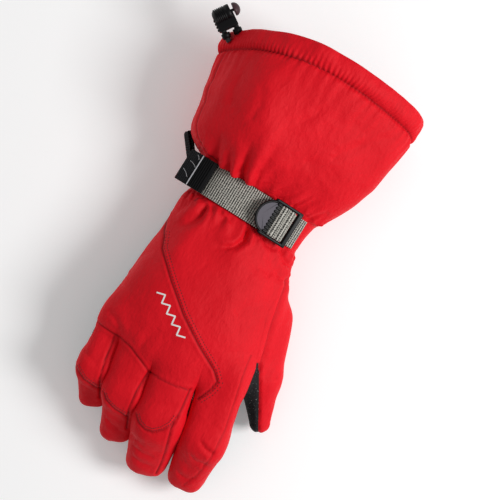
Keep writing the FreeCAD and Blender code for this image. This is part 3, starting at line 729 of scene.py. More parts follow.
def hem_gathers(points):
    """Puckers where the cuff is sewn to its hem."""
    below = mouth_distance(points) - HEM_WIDTH
    place = round_place(points)
    near = np.exp(-np.clip(below, 0, 60) / 2.8) * (below > -3)
    wave = np.sin(place * PUCKER + 1.2 * SOFT(points))
    far = np.exp(-np.clip(below, 0, 60) / 11.0)
    broad = np.sin(place * (2 * math.pi / 10.5) + 1.8 * BROAD(points * 1.6))
    dip = -1.9 * np.exp(-(np.clip(below, 0, 60) / 2.2) ** 2)
    return 0.62 * wave * near + 0.55 * broad * far * smoothstep(below, 0, 3) + dip


# ---------------------------------------------------------------- cutting meshes
def cut(table, triangles, scalar, keep_above=True):
    """The part of a mesh where a scalar is above zero (or below). Rows of the table are
    points with everything carried along; cut edges get new rows."""
    value = scalar if keep_above else -scalar
    value = np.where(np.abs(value) < 1e-5, 1e-5, value)
    inside = value[triangles] > 0
    count = inside.sum(1)
    kept = [triangles[count == 3]]
    rows = [table]
    total = len(table)

    def crossing(first, second):
        """New rows where the edges first-second cross zero; the same edge, the same row."""
        nonlocal total
        low, high = np.minimum(first, second), np.maximum(first, second)
        key = low.astype(np.int64) * len(table) + high
        fresh, where = np.unique(key, return_inverse=True)
        a, b = fresh // len(table), fresh % len(table)
        share = value[a] / (value[a] - value[b])
        rows.append(table[a] + (table[b] - table[a]) * share[:, None])
        index = total + where
        total += len(fresh)
        return index

    def lone_first(corners, lone):
        """Triangles turned so that the corner that is alone on its side comes first."""
        row = np.arange(len(corners))
        return np.stack([corners[row, (lone + i) % 3] for i in range(3)], -1)

    one = lone_first(triangles[count == 1], np.argmax(inside[count == 1], axis=1))
    two = lone_first(triangles[count == 2], np.argmin(inside[count == 2], axis=1))
    # every crossed edge once, for both kinds of triangle
    starts = np.concatenate([one[:, 0], one[:, 0], two[:, 0], two[:, 0]])
    ends = np.concatenate([one[:, 1], one[:, 2], two[:, 1], two[:, 2]])
    if len(starts):
        index = crossing(starts, ends)
        n, m = len(one), len(two)
        p, q = index[:n], index[n:2 * n]
        r, s = index[2 * n:2 * n + m], index[2 * n + m:]
        kept.append(np.stack([one[:, 0], p, q], -1))
        kept.append(np.stack([r, two[:, 1], two[:, 2]], -1))
        kept.append(np.stack([r, two[:, 2], s], -1))
    triangles = np.concatenate(kept)
    table = np.concatenate(rows)
    used, triangles = np.unique(triangles, return_inverse=True)
    return table[used], triangles.reshape(-1, 3)


# Columns of a table: where the point was on the plain form, where it is, its normal, and how much
# painted shade its seam line gives it.
REST, PLACE, NORMAL, SEAM_SHADE = slice(0, 3), slice(3, 6), slice(6, 9), 9
SKINS = []
HIGH_ABOVE = 150


# the profile of the painted shade across a seam line
def seam_shade_line(distance, width=0.62):
    return np.exp(-(distance / width) ** 2)


def painted_seam_shade(points, normals, seams, edges):
    """Painted shade: 1 in the sewn-down lines, 0 elsewhere. Seams are seen from above; edges are
    signed distances to the borders of panels, which get a weaker painted shade."""
    upward = smoothstep(normals[:, 2], 0.0, 0.3)
    dark = np.zeros(len(points))
    for line, strength in seams:
        distance, _ = polyline_distance(points[:, 0], points[:, 1], line)
        dark = np.maximum(dark, upward * strength * seam_shade_line(distance))
    for edge in edges:
        dark = np.maximum(dark, 0.7 * seam_shade_line(edge))
    return dark


def finished_skin(points, quads, field, relief, seams, edges):
    """Displaces a surface and gives the table and triangles of it."""
    _, slope = height_and_slope(field, points)
    triangles = facing_out(points, quads, slope)
    outward = unit(slope)
    moved = points + outward * relief(points, outward)[:, None]
    moved[:, 2] = np.maximum(moved[:, 2], 0.15)
    # painted shade along the seams and the panel edges
    dark = painted_seam_shade(points, outward, seams, edges(points))
    table = np.concatenate([points, moved, vertex_normals(moved, triangles), dark[:, None]], 1)
    SKINS.append(BVHTree.FromPolygons(moved.tolist(), triangles.tolist()))
    return table, triangles


def paint_seam_shade(obj, darkness):
    """Gives the red shell's material how much painted seam shade each point has."""
    layer = obj.data.attributes.new("seam", "FLOAT", "POINT")
    layer.data.foreach_set("value", darkness.astype(np.float32))


def skin_piece(name, table, triangles, material):
    if not len(triangles):
        raise RuntimeError("no skin left for " + name)
    obj = mesh_object(name, table[:, PLACE], triangles, material, unit(table[:, NORMAL]))
    paint_seam_shade(obj, table[:, SEAM_SHADE])
    return obj


def skin_under(x, y):
    """Height and normal of the topmost skin at a place seen from above."""
    best = None
    for tree in SKINS:
        hit, normal, _, _ = tree.ray_cast(Vector((x, y, HIGH_ABOVE)), Vector((0, 0, -1)))
        if hit and (best is None or hit.z > best[0].z):
            best = (hit, normal)
    return best


def palm_side(points):
    """Above zero on the red back of the hand, below on the palm; the split runs lower on
    the thumb's side."""
    forward = 28.5 - points[:, 1]
    thumb_side = smoothstep(points[:, 0], 4, 34) * (1 - smoothstep(forward, 58, 88))
    return points[:, 2] - 14 - forward * 20 / 88 + thumb_side * (10 + forward * 0.11)


# Where the hand ends towards the cuff, how high the cuff's side seam lies, and no seam near.
HAND_END, SIDE_SEAM, FAR = 28, 24, 99.0


def gusset_side(points):
    """Below zero on the gusset, low round the outer side of the cuff."""
    left = outline_at(points[:, 0], points[:, 1])[0]
    return np.maximum(points[:, 0] - left - 13, points[:, 2] - 52)


def piece_of_hand(name, table, triangles, material, *nodes):
    obj = skin_piece(name, table, triangles, material)
    belongs(obj, "hand", material, *nodes)


def sunk_under_fingers(points):
    """The hand's own skin lies a little deeper where a finger's root covers it."""
    sunk = np.zeros(len(points))
    for name in FINGERS:
        beneath = -smooth_min(np.zeros(len(points)), finger_height(name, *points.T), FILLET[name])
        sunk = np.maximum(sunk, 1.6 * smoothstep(beneath, 0.03, 0.7))
    return sunk


def hand_relief(points, normals):
    raised = cloth_relief(points, normals) - sunk_under_fingers(points)
    edge = palm_side(points)
    in_hand = points[:, 1] < HAND_END
    raised += np.where(in_hand, groove(edge, 0.9, 1.1), 0)
    side = np.where(in_hand, FAR, points[:, 2] - SIDE_SEAM)
    raised += groove(side, 0.7, 1.1) * (gusset_side(points) > 0)
    gusset = np.where(in_hand, FAR, gusset_side(points))
    return raised + groove(gusset, 0.6, 1.0) * smoothstep(np.abs(points[:, 1] - STRAP_LINE), 10, 20)


# Seams of the hand with how dark their painted shade is.
HAND_SEAMS = ((DIAGONAL_SEAM, 0.9), (KNUCKLE_SEAM, 0.6), (THUMB_SEAM, 0.35))


def hand_and_cuff():
    low, high = (-84, -101, -5), (84, 168, 94)
    points, quads = surface_of(hull_height, low, high)

    # signed distances to the panel borders, which get painted shade
    def edges(points):
        in_hand = points[:, 1] < HAND_END
        gusset = np.where(in_hand, FAR, gusset_side(points))
        side = np.where(in_hand | (gusset_side(points) < 0), FAR, points[:, 2] - SIDE_SEAM)
        mouth = mouth_distance(points) - HEM_WIDTH
        return (np.where(in_hand, palm_side(points), FAR), gusset, side, mouth * 0.6)

    table, triangles = finished_skin(points, quads, hull_height, hand_relief, HAND_SEAMS, edges)
    table, triangles = cut(table, triangles, mouth_distance(table[:, REST]) - HEM_WIDTH)
    wrist = along_strap(table[:, 0], table[:, 1]) - 36
    cuff = cut(table, triangles, wrist)
    hand = cut(table, triangles, wrist, False)
    gusset = cut(*cuff, gusset_side(cuff[0]), False)
    piece_of_hand("cuff_gusset_shell", *gusset, "red_shell", "cuff_gusset")
    rest = cut(*cuff, gusset_side(cuff[0]))
    back = cut(*rest, rest[0][:, 2] - SIDE_SEAM)
    piece_of_hand("cuff_back_shell", *back, "red_shell", "cuff_back_panel")
    under = cut(*rest, rest[0][:, 2] - SIDE_SEAM, False)
    piece_of_hand("cuff_palm_shell", *under, "red_shell", "cuff_palm_panel")
    palm = cut(*hand, palm_side(hand[0]), False)
    piece_of_hand("palm_grip", *palm, "grip_black", "palm_panel")
    top = cut(*hand, palm_side(hand[0]))
    split_x, split_y = np.array([(-64, 60)] + DIAGONAL_SEAM[:7] + [(40, -100)], float).T
    signed = top[0][:, 0] - np.interp(-top[0][:, 1], -split_y, split_x)
    piece_of_hand("back_shell", *cut(*top, signed), "red_shell", "back_panel")
    piece_of_hand("outer_back_shell", *cut(*top, signed, False), "red_shell", "outer_back_panel")


def finger_frame(name):
    """Knuckle and middle joint of the frame, and the way from one to the other."""
    first, second = (("thumb_swing", "thumb_bend") if name == "thumb"
                     else (name + "_knuckle", name + "_bend"))
    knuckle, middle = joint_point(first), joint_point(second)
    return knuckle, middle, unit(middle - knuckle), np.linalg.norm(middle - knuckle)


# Seams along each finger and round its tip, with their strengths: how deep each groove is and how
# dark its painted shade.
FINGER_SEAMS = {"index": ((INDEX_SEAM, 0.4), (INDEX_TIP, 0.1)),
                "middle": ((MIDDLE_SEAM, 0.8), (MIDDLE_TIP, 0.6)),
                "ring": ((RING_SEAM, 0.8), (RING_TIP, 0.6)),
                "pinky": ((PINKY_SEAM, 0.8), (PINKY_TIP, 0.6)),
                "thumb": ()}


# How far round a finger its skin is worked out, and how far it has to stand clear.
FINGER_REACH, CLEAR = 34, 0.04


def colour_edge(name, points):
    """Above zero on the back of a finger, below on its palm side."""
    knuckle, _, along, _ = finger_frame(name)
    (k, m, t), _ = FINGERS[name]
    line = np.array([k[:3], m[:3], t[:3]])
    if name == "thumb":
        # a straight line from the thumb's root to its tip, seen from above
        border = 44.5 + (-59.5 - points[:, 1]) * 19 / 43
        own = (points[:, 0] - border) * 0.91 + np.minimum(points[:, 2] - 14, 0) * 0.3
        ahead = (points - knuckle) @ along
        share = smoothstep(ahead, 16, 34)
    else:
        centre = np.interp(-points[:, 1], -line[:, 1], line[:, 2])
        own = points[:, 2] - centre + 3.2
        ahead = (points - knuckle) @ along
        share = smoothstep(ahead, 10, 26)
        beyond = points[:, 1] < t[1]
        own = np.where(beyond, points[:, 2] - t[2] + 3.2 - 0.5 * (points[:, 1] - t[1]), own)
    return palm_side(points) * (1 - share) + own * share


def finger(name):
    """A finger's skin in four pieces: base and tip, each with a back and a palm side."""
    knuckle, middle, along, length = finger_frame(name)
    reach = FILLET[name]

    def field(x, y, z):
        return smooth_min(hull_height(x, y, z), finger_height(name, x, y, z), reach)

    corners = np.array([point[:3] for point in FINGERS[name][0]])
    low = corners.min(0) - FINGER_REACH
    high = corners.max(0) + FINGER_REACH
    low[2] = -5
    points, quads = surface_of(field, low, high)

    def relief(points, normals):
        raised = cloth_relief(points, normals)
        own = smoothstep(hull_height(*points.T), 0.5, 4.0)
        upward = smoothstep(normals[:, 2], 0.0, 0.3)
        for line, depth in FINGER_SEAMS[name]:
            distance, _ = polyline_distance(points[:, 0], points[:, 1], line)
            raised += own * upward * groove(distance, depth, 0.8)
        raised += own * groove(colour_edge(name, points), 0.7, 1.0)
        # the cloth creases inside the bend
        ahead = (points - middle) @ along
        inner = smoothstep(-normals[:, 2], -0.1, 0.6)
        return raised - inner * 1.2 * np.exp(-(ahead / 3.0) ** 2)

    # the seams and the finger's colour edge get painted shade
    table, triangles = finished_skin(points, quads, field, relief,
                                     HAND_SEAMS + FINGER_SEAMS[name],
                                     lambda points: (colour_edge(name, points),))
    # only what stands clear of the hand belongs to the finger
    table, triangles = cut(table, triangles, hull_height(*table[:, REST].T) - CLEAR)
    ahead = (table[:, REST] - knuckle) @ along
    if name == "thumb":
        split, base_blend, tip_blend = 31.0, (4.0, 29.0), (33.0, 50.0)
    else:
        split = length - 12
        base_blend, tip_blend = (2.0, split - 1), (split + 1, length + 9)
    for part, above, bodies, blend in (("base", False, ("hand", name + "_base"), base_blend),
                                       ("tip", True, (name + "_base", name + "_tip"), tip_blend)):
        stretch = cut(table, triangles, ahead - split, above)
        edge = colour_edge(name, stretch[0][:, REST])
        for half, side, material in (("back", True, "red_shell"), ("palm", False, "grip_black")):
            piece = skin_piece("%s_%s_%s_shell" % (name, part, half),
                               *cut(*stretch, edge, side), material)
            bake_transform(piece)
            node = "%s_%s_%s" % (name, part, half)
            lining = ["%s_%s_liner" % (name, part)] if half == "palm" else []
            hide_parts(node, *lining)


hand_and_cuff()
for finger_name in FINGERS:
    finger(finger_name)


# ---------------------------------------------------------------- hem and lining
ROUND = 720


def raised_onto_hull(points, rise, rounds, y_of):
    """Moves points across the glove to a height over the hull, keeping them where y_of says
    along it."""
    for _ in range(rounds):
        height, slope = height_and_slope(hull_height, points)
        slope[:, 1] = 0
        points -= step_down(height - rise, slope) * 0.8
        points[:, 1] = y_of(points)
    return points


def ring_at(offset, rise, y_of):
    """A closed ring of points round the glove, standing a height over the hull; y_of gives
    the place along the glove from the height of each point."""
    angle = np.linspace(0, 2 * math.pi, ROUND, endpoint=False)
    c, s = np.cos(angle), np.sin(angle)
    y = np.full(ROUND, float(offset))
    for _ in range(3):
        left, right, low, top = outline_at(np.zeros(ROUND), y)
        power = squareness(y, smoothstep(-c, -0.25, 0.5))
        x = (left + right) / 2 + (right - left) / 2 * np.sign(c) * np.abs(c) ** (2 / power)
        z = (low + top) / 2 + (top - low) / 2 * np.sign(s) * np.abs(s) ** (2 / power)
        z = np.maximum(z, LOWEST)
        y = y_of(z)
    return raised_onto_hull(np.stack([x, y, z], -1), rise, 8, lambda points: y_of(points[:, 2]))


def below_mouth(depth):
    """The place along the glove at a distance below the leaning mouth."""
    return lambda z: MOUTH_Y + (z - MOUTH_Z) * MOUTH_SLOPE - depth / math.cos(MOUTH_LEAN)


# The hem's roll: how far below the mouth, and how high over the plain hull.
HEM_ROLL = ((17.0, -3.4), (15.8, -2.4), (14.9, -2.0), (14.2, -1.5), (13.4, -0.5), (12.2, 0.35),
            (10.5, 0.95), (8.5, 1.2), (6.5, 1.25), (4.5, 1.1), (2.8, 0.75), (1.4, 0.1),
            (0.5, -0.8), (0.0, -2.0), (0.1, -3.2), (0.9, -4.6), (2.6, -5.6), (5.0, -6.2),
            (8.0, -6.6), (12.0, -6.7), (15.0, -6.4), (17.0, -5.6))


def hem():
    """The folded channel round the mouth, puckered along its stitched seam, which is darkened with
    painted shade.
    """
    rings, seam = [], []
    for depth, rise in HEM_ROLL:
        ring = ring_at(MOUTH_Y, rise, below_mouth(depth))
        place = round_place(ring)
        outer = smoothstep(rise, -3.0, -1.0)
        near = math.exp(-abs(depth - 14.2) / 2.6)
        pucker = 0.75 * near * np.sin(place * PUCKER + 1.2 * SOFT(ring))
        # painted shade along the seam, stronger and weaker in step with the puckers
        shade_wave = 0.7 + 0.3 * np.sin(place * PUCKER)
        seam.append(0.95 * seam_shade_line(depth - 14.9, 0.9) * shade_wave)
        sway = 0.6 * BROAD(ring) + 0.7 * CRUMPLE(ring * 0.8) + 0.25 * FINE(ring)
        outward = unit(height_and_slope(hull_height, ring)[1] * np.array([1, 0, 1]))
        rings.append(ring + outward * ((pucker + 0.55 * sway) * outer)[:, None])
    points = np.concatenate(rings)
    points[:, 2] = np.maximum(points[:, 2], 0.2)
    faces = grid_faces(len(rings), ROUND, close_columns=True)
    obj = mesh_object("cuff_hem_roll", points, faces, "red_shell")
    paint_seam_shade(obj, np.concatenate(seam))
    belongs(obj, "hand", "red_shell", "cuff_hem", "hem_drawcord")


def lining():
    """Brushed lining from the hem's inner edge down into the hand."""
    rings = []
    for depth in (11.0, 13.5, 16, 20, 26, 32, 40, 50, 60, 70, 80, 90, 100, 110):
        ring = ring_at(MOUTH_Y, -7.4 - 0.02 * depth, below_mouth(depth))
        loose = smoothstep(depth, 14, 34)
        rings.append(ring + unit(height_and_slope(hull_height, ring)[1]) *
                     (loose * (0.5 * SOFT(ring) + 0.3 * CRUMPLE(ring)))[:, None])
    for y in (34, 24, 12):
        rings.append(ring_at(y, -8.5, lambda z, y=y: np.full_like(z, y)))
    last = rings[-1]
    middle = last.mean(0)
    for share in (0.66, 0.33, 0.02):
        rings.append(middle + (last - middle) * share - np.array([0, 6 * (1 - share), 0]))
    points = np.concatenate(rings)
    obj = mesh_object("glove_lining", points,
                      grid_faces(len(rings), ROUND, close_columns=True, flip=True), "liner_black")
    belongs(obj, "hand", "liner_black", "cuff_liner", "cuff_padding", "hand_liner",
            "hand_padding", "hand_membrane", "wrist_elastic")


def care_label():
    """A blank woven label sewn to the lining on the palm side of the cuff."""
    width, length, start = 30, 22, 95
    across = np.linspace(-width / 2, width / 2, width + 1)
    along = np.linspace(start, start + length, length + 1)
    x, y = np.meshgrid(across, along, indexing="ij")
    lift = 9.4 + 0.5 * np.sin(x * 0.45) * np.sin((y - start) / length * math.pi)
    points = np.stack([x, y, lift], -1).reshape(-1, 3)
    obj = mesh_object("care_label_woven", points, grid_faces(*x.shape, flip=True), "label_white")
    belongs(obj, "hand", "label_white", "care_label")


# ---------------------------------------------------------------- webbing
def ribbon(name, path, across, width, thick, material, rows=0.6):
    """A strip of webbing along a path of points, with rounded edges and its own UV in mm.
    The path is the strip's underside; across is its width's direction."""
    path = np.asarray(path, float)
    _, passed = runs_of(path)
    stations = np.linspace(0, passed[-1], max(int(passed[-1] / rows), 4))
    path = np.stack([np.interp(stations, passed, path[:, i]) for i in range(3)], -1)
    tangent = unit(np.gradient(path, axis=0))
    across = np.broadcast_to(unit(across), path.shape)
    across = unit(across - tangent * (across * tangent).sum(1)[:, None])
    up = np.cross(tangent, across)
    half = width / 2
    columns = np.linspace(-half, half, 64)
    edge = np.clip((half - np.abs(columns)) / 0.5, 0, 1)
    rounding = np.sqrt(1 - (1 - edge) ** 2)
    rib = 0.09 * np.cos(columns * 2 * math.pi / 1.45)
    top = thick / 2 + (thick / 2) * rounding + rib * edge
    bottom = thick / 2 - (thick / 2) * rounding - rib * edge
    w = np.concatenate([columns, columns[::-1]])
    t = np.concatenate([top, bottom[::-1]])
    points = (path[:, None] + across[:, None] * w[None, :, None] + up[:, None] * t[None, :, None])
    faces = grid_faces(len(path), len(w), close_columns=True)
    flat = points.reshape(-1, 3)
    caps = []
    for end, flip in ((0, False), (len(path) - 1, True)):
        base = end * len(w)
        for i in range(len(columns) - 1):
            quad = [base + i, base + i + 1, base + len(w) - 2 - i, base + len(w) - 1 - i]
            caps.append(quad[::-1] if flip else quad)
    faces = np.concatenate([faces, np.array(caps)])
    obj = mesh_object(name, flat, faces, material)
    layer = obj.data.uv_layers.new(name="strip")
    uv = np.stack([np.repeat(stations, len(w)), np.tile(w, len(path))], -1) * MM
    corner = np.zeros(len(obj.data.loops), dtype=np.int32)
    obj.data.loops.foreach_get("vertex_index", corner)
    layer.data.foreach_set("uv", uv[corner].astype(np.float32).ravel())
    return obj


STRAP_ACROSS = np.array([math.sin(-STRAP_TURN), math.cos(STRAP_TURN), 0.0])


def over_wrist(first_x, last_x, rise):
    """Points across the wrist on the strap's line, at a height over the plain hull."""
    left, right, low, top = (float(np.interp(STRAP_LINE, OUTLINE_Y, c)) for c in OUTLINE)
    angle = np.radians(np.linspace(176, 4, 500))
    x = (left + right) / 2 + (right - left) / 2 * np.cos(angle)
    z = (low + top) / 2 + (top - low) / 2 * np.sin(angle)

    def on_line(points):
        return STRAP_LINE + points[:, 0] * math.tan(STRAP_TURN)

    points = np.stack([x, x, z], -1)
    points[:, 1] = on_line(points)
    points = raised_onto_hull(points, rise, 10, on_line)
    return points[(points[:, 0] >= first_x) & (points[:, 0] <= last_x)]


def strap():
    """Load webbing from the outer seam, its tail on top of it up to the lock, and the short
    webbing that holds the lock."""
    tail = over_wrist(-46, 8, 2.1)
    tail[:, 2] += 2.4 * smoothstep(tail[:, 0], -8, 8)
    for name, path, width, thick, node in (
            ("wrist_strap_webbing", over_wrist(-60, 8, 0.7), 23.6, 1.2, "wrist_strap"),
            ("strap_tail_webbing", tail, 23.6, 1.2, "strap_tail"),
            ("buckle_anchor_webbing", over_wrist(17, 29.6, 0.6), 22.4, 1.3, "buckle_anchor")):
        obj = ribbon(name, path, STRAP_ACROSS, width, thick, "grey_webbing")
        belongs(obj, "hand", "grey_webbing", node)


# ---------------------------------------------------------------- solid shapes
class Place:
    """A local frame: an origin and turns in degrees about Z and then Y."""

    def __init__(self, origin, about_z, about_y=0.0):
        z, y = math.radians(about_z), math.radians(about_y)
        turn_z = np.array([[math.cos(z), -math.sin(z), 0], [math.sin(z), math.cos(z), 0], [0, 0, 1]])
        turn_y = np.array([[math.cos(y), 0, math.sin(y)], [0, 1, 0], [-math.sin(y), 0, math.cos(y)]])
        self.turn = turn_z @ turn_y
        self.origin = np.array(origin, float)

    def __call__(self, points):
        return np.asarray(points, float) @ self.turn.T + self.origin

    def way(self, vector):
        return self.turn @ np.array(vector, float)

    def moved(self, x, y, z):
        other = Place((0, 0, 0), 0)
        other.turn = self.turn
        other.origin = self(np.array([x, y, z]))
        return other


def soft_box(low, high, radius, step=4):
    """A box with rounded edges as a lattice of points and faces."""
    low, high = np.array(low, float), np.array(high, float)
    half, middle = (high - low) / 2, (high + low) / 2
    radius = min(radius, *(half * 0.98))
    inner = half - radius
    ticks = []
    for size in inner:
        bend = np.linspace(0, math.pi / 4, step)
        curve = np.tan(bend)
        ticks.append(np.concatenate([-size - radius * curve[::-1], size + radius * curve])
                     if size > 1e-6 else np.concatenate([-radius * curve[::-1], radius * curve[1:]]))
    points, faces, count = [], [], 0
    for axis in range(3):
        first, second = (axis + 1) % 3, (axis + 2) % 3
        for sign in (-1, 1):
            u, v = np.meshgrid(ticks[first], ticks[second], indexing="ij")
            cube = np.zeros(u.shape + (3,))
            cube[..., axis] = sign * half[axis]
            cube[..., first], cube[..., second] = u, v
            core = np.clip(cube, -inner, inner)
            points.append((core + unit(cube - core) * radius + middle).reshape(-1, 3))
            faces.append(grid_faces(*u.shape, flip=sign < 0) + count)
            count += u.size
    return np.concatenate(points), np.concatenate(faces)


def plate(outline, low, high, bevel):
    """A flat plate with a bevelled rim, as rings from the middle of one face to the other's."""
    outline = np.array(outline, float)
    ahead, behind = np.roll(outline, -1, 0), np.roll(outline, 1, 0)
    along = unit(ahead - behind)
    inward = np.stack([-along[:, 1], along[:, 0]], -1)
    middle = outline.mean(0)
    rings = []
    for inset, z in ((bevel, low), (bevel * 0.3, low + bevel * 0.3), (0, low + bevel),
                     (0, high - bevel), (bevel * 0.3, high - bevel * 0.3), (bevel, high)):
        ring = outline + inward * inset
        rings.append(np.concatenate([ring, np.full((len(ring), 1), z)], 1))
    first = rings[0] * 0 + np.array([*middle, low])
    last = rings[0] * 0 + np.array([*middle, high])
    rings = [first + (rings[0] - first) * share for share in (0.01, 0.5)] + rings
    rings += [last + (rings[-1] - last) * share for share in (0.5, 0.01)]
    return (np.concatenate(rings),
            grid_faces(len(rings), len(outline), close_columns=True, flip=True))


def lathe(profile, count=48):
    """A round of (radius, place along X)."""
    angle = np.linspace(0, 2 * math.pi, count, endpoint=False)
    rings = [np.stack([np.full(count, place), radius * np.cos(angle), radius * np.sin(angle)], -1)
             for radius, place in profile]
    return np.concatenate(rings), grid_faces(len(rings), count, close_columns=True)


def tube_along(path, radius, count=12):
    """A round rod along a path of points."""
    path = np.asarray(path, float)
    tangent = unit(np.gradient(path, axis=0))
    side = unit(np.cross(tangent, np.array([0.0, 0.0, 1.0]) + 1e-6))
    up = np.cross(side, tangent)
    angle = np.linspace(0, 2 * math.pi, count, endpoint=False)
    rings = path[:, None] + radius * (side[:, None] * np.cos(angle)[None, :, None]
                                      + up[:, None] * np.sin(angle)[None, :, None])
    return rings.reshape(-1, 3), grid_faces(len(path), count, close_columns=True)


def solid(name, place, shapes, material, body, *nodes, slot=None, smooth=True):
    """A rigid piece of several overlapping shapes given in a local frame."""
    points, faces = joined(shapes)
    obj = mesh_object(name, place(points), faces, material, smooth=smooth)
    return belongs(obj, body, slot or material, *nodes)


# ---------------------------------------------------------------- ladder lock
LOCK = Place(joint_point("ladder_lock_lift"), -7, 21)


def ladder_lock():
    """Frame with a hinge bar, a toothed bar, the turn of webbing and a round lifting tab."""
    rail, half = 12.8, 1.1
    shapes = [soft_box((-21.0, side * rail - half, -1.7), (1.7, side * rail + half, 2.1), 0.8)
              for side in (-1, 1)]
    shapes.append(soft_box((-1.7, -13.9, -1.7), (1.9, 13.9, 2.1), 0.9))
    shapes.append(soft_box((-18.9, -rail, -1.3), (-14.4, rail, 0.5), 0.4))
    shapes.append(soft_box((-11.6, -rail, -1.2), (-9.0, rail, 1.0), 0.5))
    for tooth in range(9):
        y = -10.4 + 2.6 * tooth
        shapes.append(soft_box((-18.5, y - 0.75, 0), (-14.2, y + 0.75, 1.5), 0.45))
    radius, chord = 11.9, 12.2
    centre = -28.9 + radius
    spread = math.asin(chord / (radius + 0.35))
    angle = np.linspace(math.pi - spread, math.pi + spread, 60)
    arc = np.stack([centre + radius * np.cos(angle), radius * np.sin(angle)], -1)
    rim = np.concatenate([arc, np.full((60, 1), 0.35)], 1)
    shapes.append(tube_along(rim, 1.0))
    solid("ladder_lock_frame", LOCK, shapes, "black_plastic", "ladder_lock", "ladder_lock")
    outline = np.concatenate([arc, [(-18.0, -12.2), (-18.0, 12.2)]])
    solid("ladder_lock_tab", LOCK, [plate(outline, -0.7, 0.6, 0.3)], "tab_grey", "ladder_lock",
          slot="black_plastic", smooth=False)
    # the webbing's turn shows as two rolls between the toothed bar and the hinge bar
    roll = [(-14.4, -1.4)]
    for middle in (-12.0, -6.9):
        roll += arc_points(middle, 0.3, 2.4, 2.2, 186, -6, 24)
    roll.append((-4.5, -1.4))
    path = LOCK(np.array([(x, 0, z) for x, z in roll]))
    turn = ribbon("strap_turn_roll", path, LOCK.way((0, 1, 0)), 23.2, 1.1, "grey_webbing", 0.35)
    belongs(turn, "ladder_lock", "grey_webbing", "strap_turn_webbing")


# ---------------------------------------------------------------- pull tab and hang loop
TAB = Place((-43.2, 46.4, 55.6), -7, -35)


def pull_tab():
    """Folded black webbing with a sewn, ribbed root."""
    fold = [(-12.0, 0.2), (-18, 0.15), (-24.4, 0.2)]
    fold += arc_points(-24.4, 1.7, 1.5, 1.5, -90, -270, 14)
    fold += [(-18, 3.3), (-12.2, 3.1)]
    path = TAB(np.array([(x, 0, z) for x, z in fold])[::-1])
    folded = ribbon("pull_tab_fold", path, TAB.way((0, 1, 0)), 24.0, 0.9, "black_webbing", 0.5)
    belongs(folded, "hand", "black_webbing", "pull_tab")
    ribs = [soft_box((-12.6, -11.9, 0.1), (0.2, 11.9, 2.5), 0.6)]
    for rib in range(6):
        x = -11.2 + 2.0 * rib
        ribs.append(soft_box((x - 0.6, -11.5, 1.5), (x + 0.6, 11.5, 3.1), 0.5))
    solid("pull_tab_root", TAB, ribs, "tab_black", "hand", slot="black_webbing")
    seam = [soft_box((-12.75, -11.8, 3.2), (-12.25, 11.8, 4.1), 0.2)]
    # three short pale lines: painted glints on the folds of the webbing, drawn as thread
    for start, end in (((-20, 4), (-13, 1.5)), ((-22, -3), (-15, -7)), ((-17, 10), (-14, 7.5))):
        line = np.linspace((*start, 4.15), (*end, 4.15), 12)
        line[:, 1] += 0.6 * np.sin(np.linspace(0, math.pi, 12))
        seam.append(tube_along(line, 0.16, 6))
    solid("pull_tab_stitching_and_glints", TAB, seam, "pale_stitch_and_glint", "hand", slot="black_webbing")


def hang_loop():
    """A narrow loop of black webbing standing out of the outer seam."""
    place = Place((-62.5, 57.5, 26), 122)
    out, gap = 15.4, 1.5
    path = [(-3, 0), (out, 0)]
    path += arc_points(out, gap / 2, gap / 2, gap / 2, -90, 90, 12)
    path += [(-3, gap)]
    points = place(np.array([(x, y + 0.4, 4) for x, y in path]))
    across = place.way((0, -0.42, 0.91))
    obj = ribbon("hang_loop_webbing", points, across, 8.0, 1.3, "black_webbing", 0.6)
    belongs(obj, "hand", "black_webbing", "hang_loop")


# ---------------------------------------------------------------- cord and its lock
CORD = Place((-72, 145.2, 51), 50)
CORD_ROUTE = ((-4.2, -4), (-4.9, 4), (-4.4, 12), (-3.4, 18), (3.4, 18), (4.4, 12), (4.9, 4),
              (4.2, -4))
CORD_THICK = 3.8


def curve_length(curve_object):
    """Length of a curve as Blender draws it without its thickness."""
    thin = curve_object.copy()
    thin.data = curve_object.data.copy()
    thin.data.bevel_depth = 0
    mesh = bpy.data.meshes.new_from_object(thin)
    points = np.array([v.co for v in mesh.vertices])
    bpy.data.objects.remove(thin)
    bpy.data.meshes.remove(mesh)
    return float(np.linalg.norm(np.diff(points, axis=0), axis=1).sum())


def cord_loop():
    data = bpy.data.curves.new("drawcord_loop", "CURVE")
    data.dimensions = "3D"
    data.resolution_u = 12
    data.bevel_depth = CORD_THICK / 2 * MM
    data.bevel_resolution = 6
    data.use_fill_caps = True
    route = CORD(np.array([(x, y, 0) for x, y in CORD_ROUTE])) * MM
    spline = data.splines.new("NURBS")
    spline.points.add(len(route) - 1)
    for point, place in zip(spline.points, route):
        point.co = (*place, 1)
    spline.order_u = 3
    spline.use_endpoint_u = True
    obj = bpy.data.objects.new("drawcord_loop", data)
    bpy.context.collection.objects.link(obj)
    data.materials.append(MATERIALS["cord_black"])
    belongs(obj, "hand", "cord_black", "cord_loop")
    curve_length(obj)


def eyelets():
    """Round eyelets where the loop leaves the hem."""
    rims = []
    profile = [(2.15, 0.2), (2.2, 3.6), (2.6, 4.2), (3.2, 4.0), (3.3, 3.3), (3.1, 0.2),
               (2.15, 0.2)]
    for mark, (x, _) in (("outer", CORD_ROUTE[0]), ("inner", CORD_ROUTE[-1])):
        points, faces = lathe(profile, 32)
        # the lathe's own axis is X; it is turned to point out of the hem
        turned = np.stack([points[:, 1], points[:, 0], points[:, 2]], -1)
        turned += np.array([x * 1.04, -1.6, 0])
        rims.append(solid("eyelet_%s_ring" % mark, CORD, [(turned, faces[:, ::-1])],
                          "black_plastic", "hand", "eyelet_" + mark))
    return rims


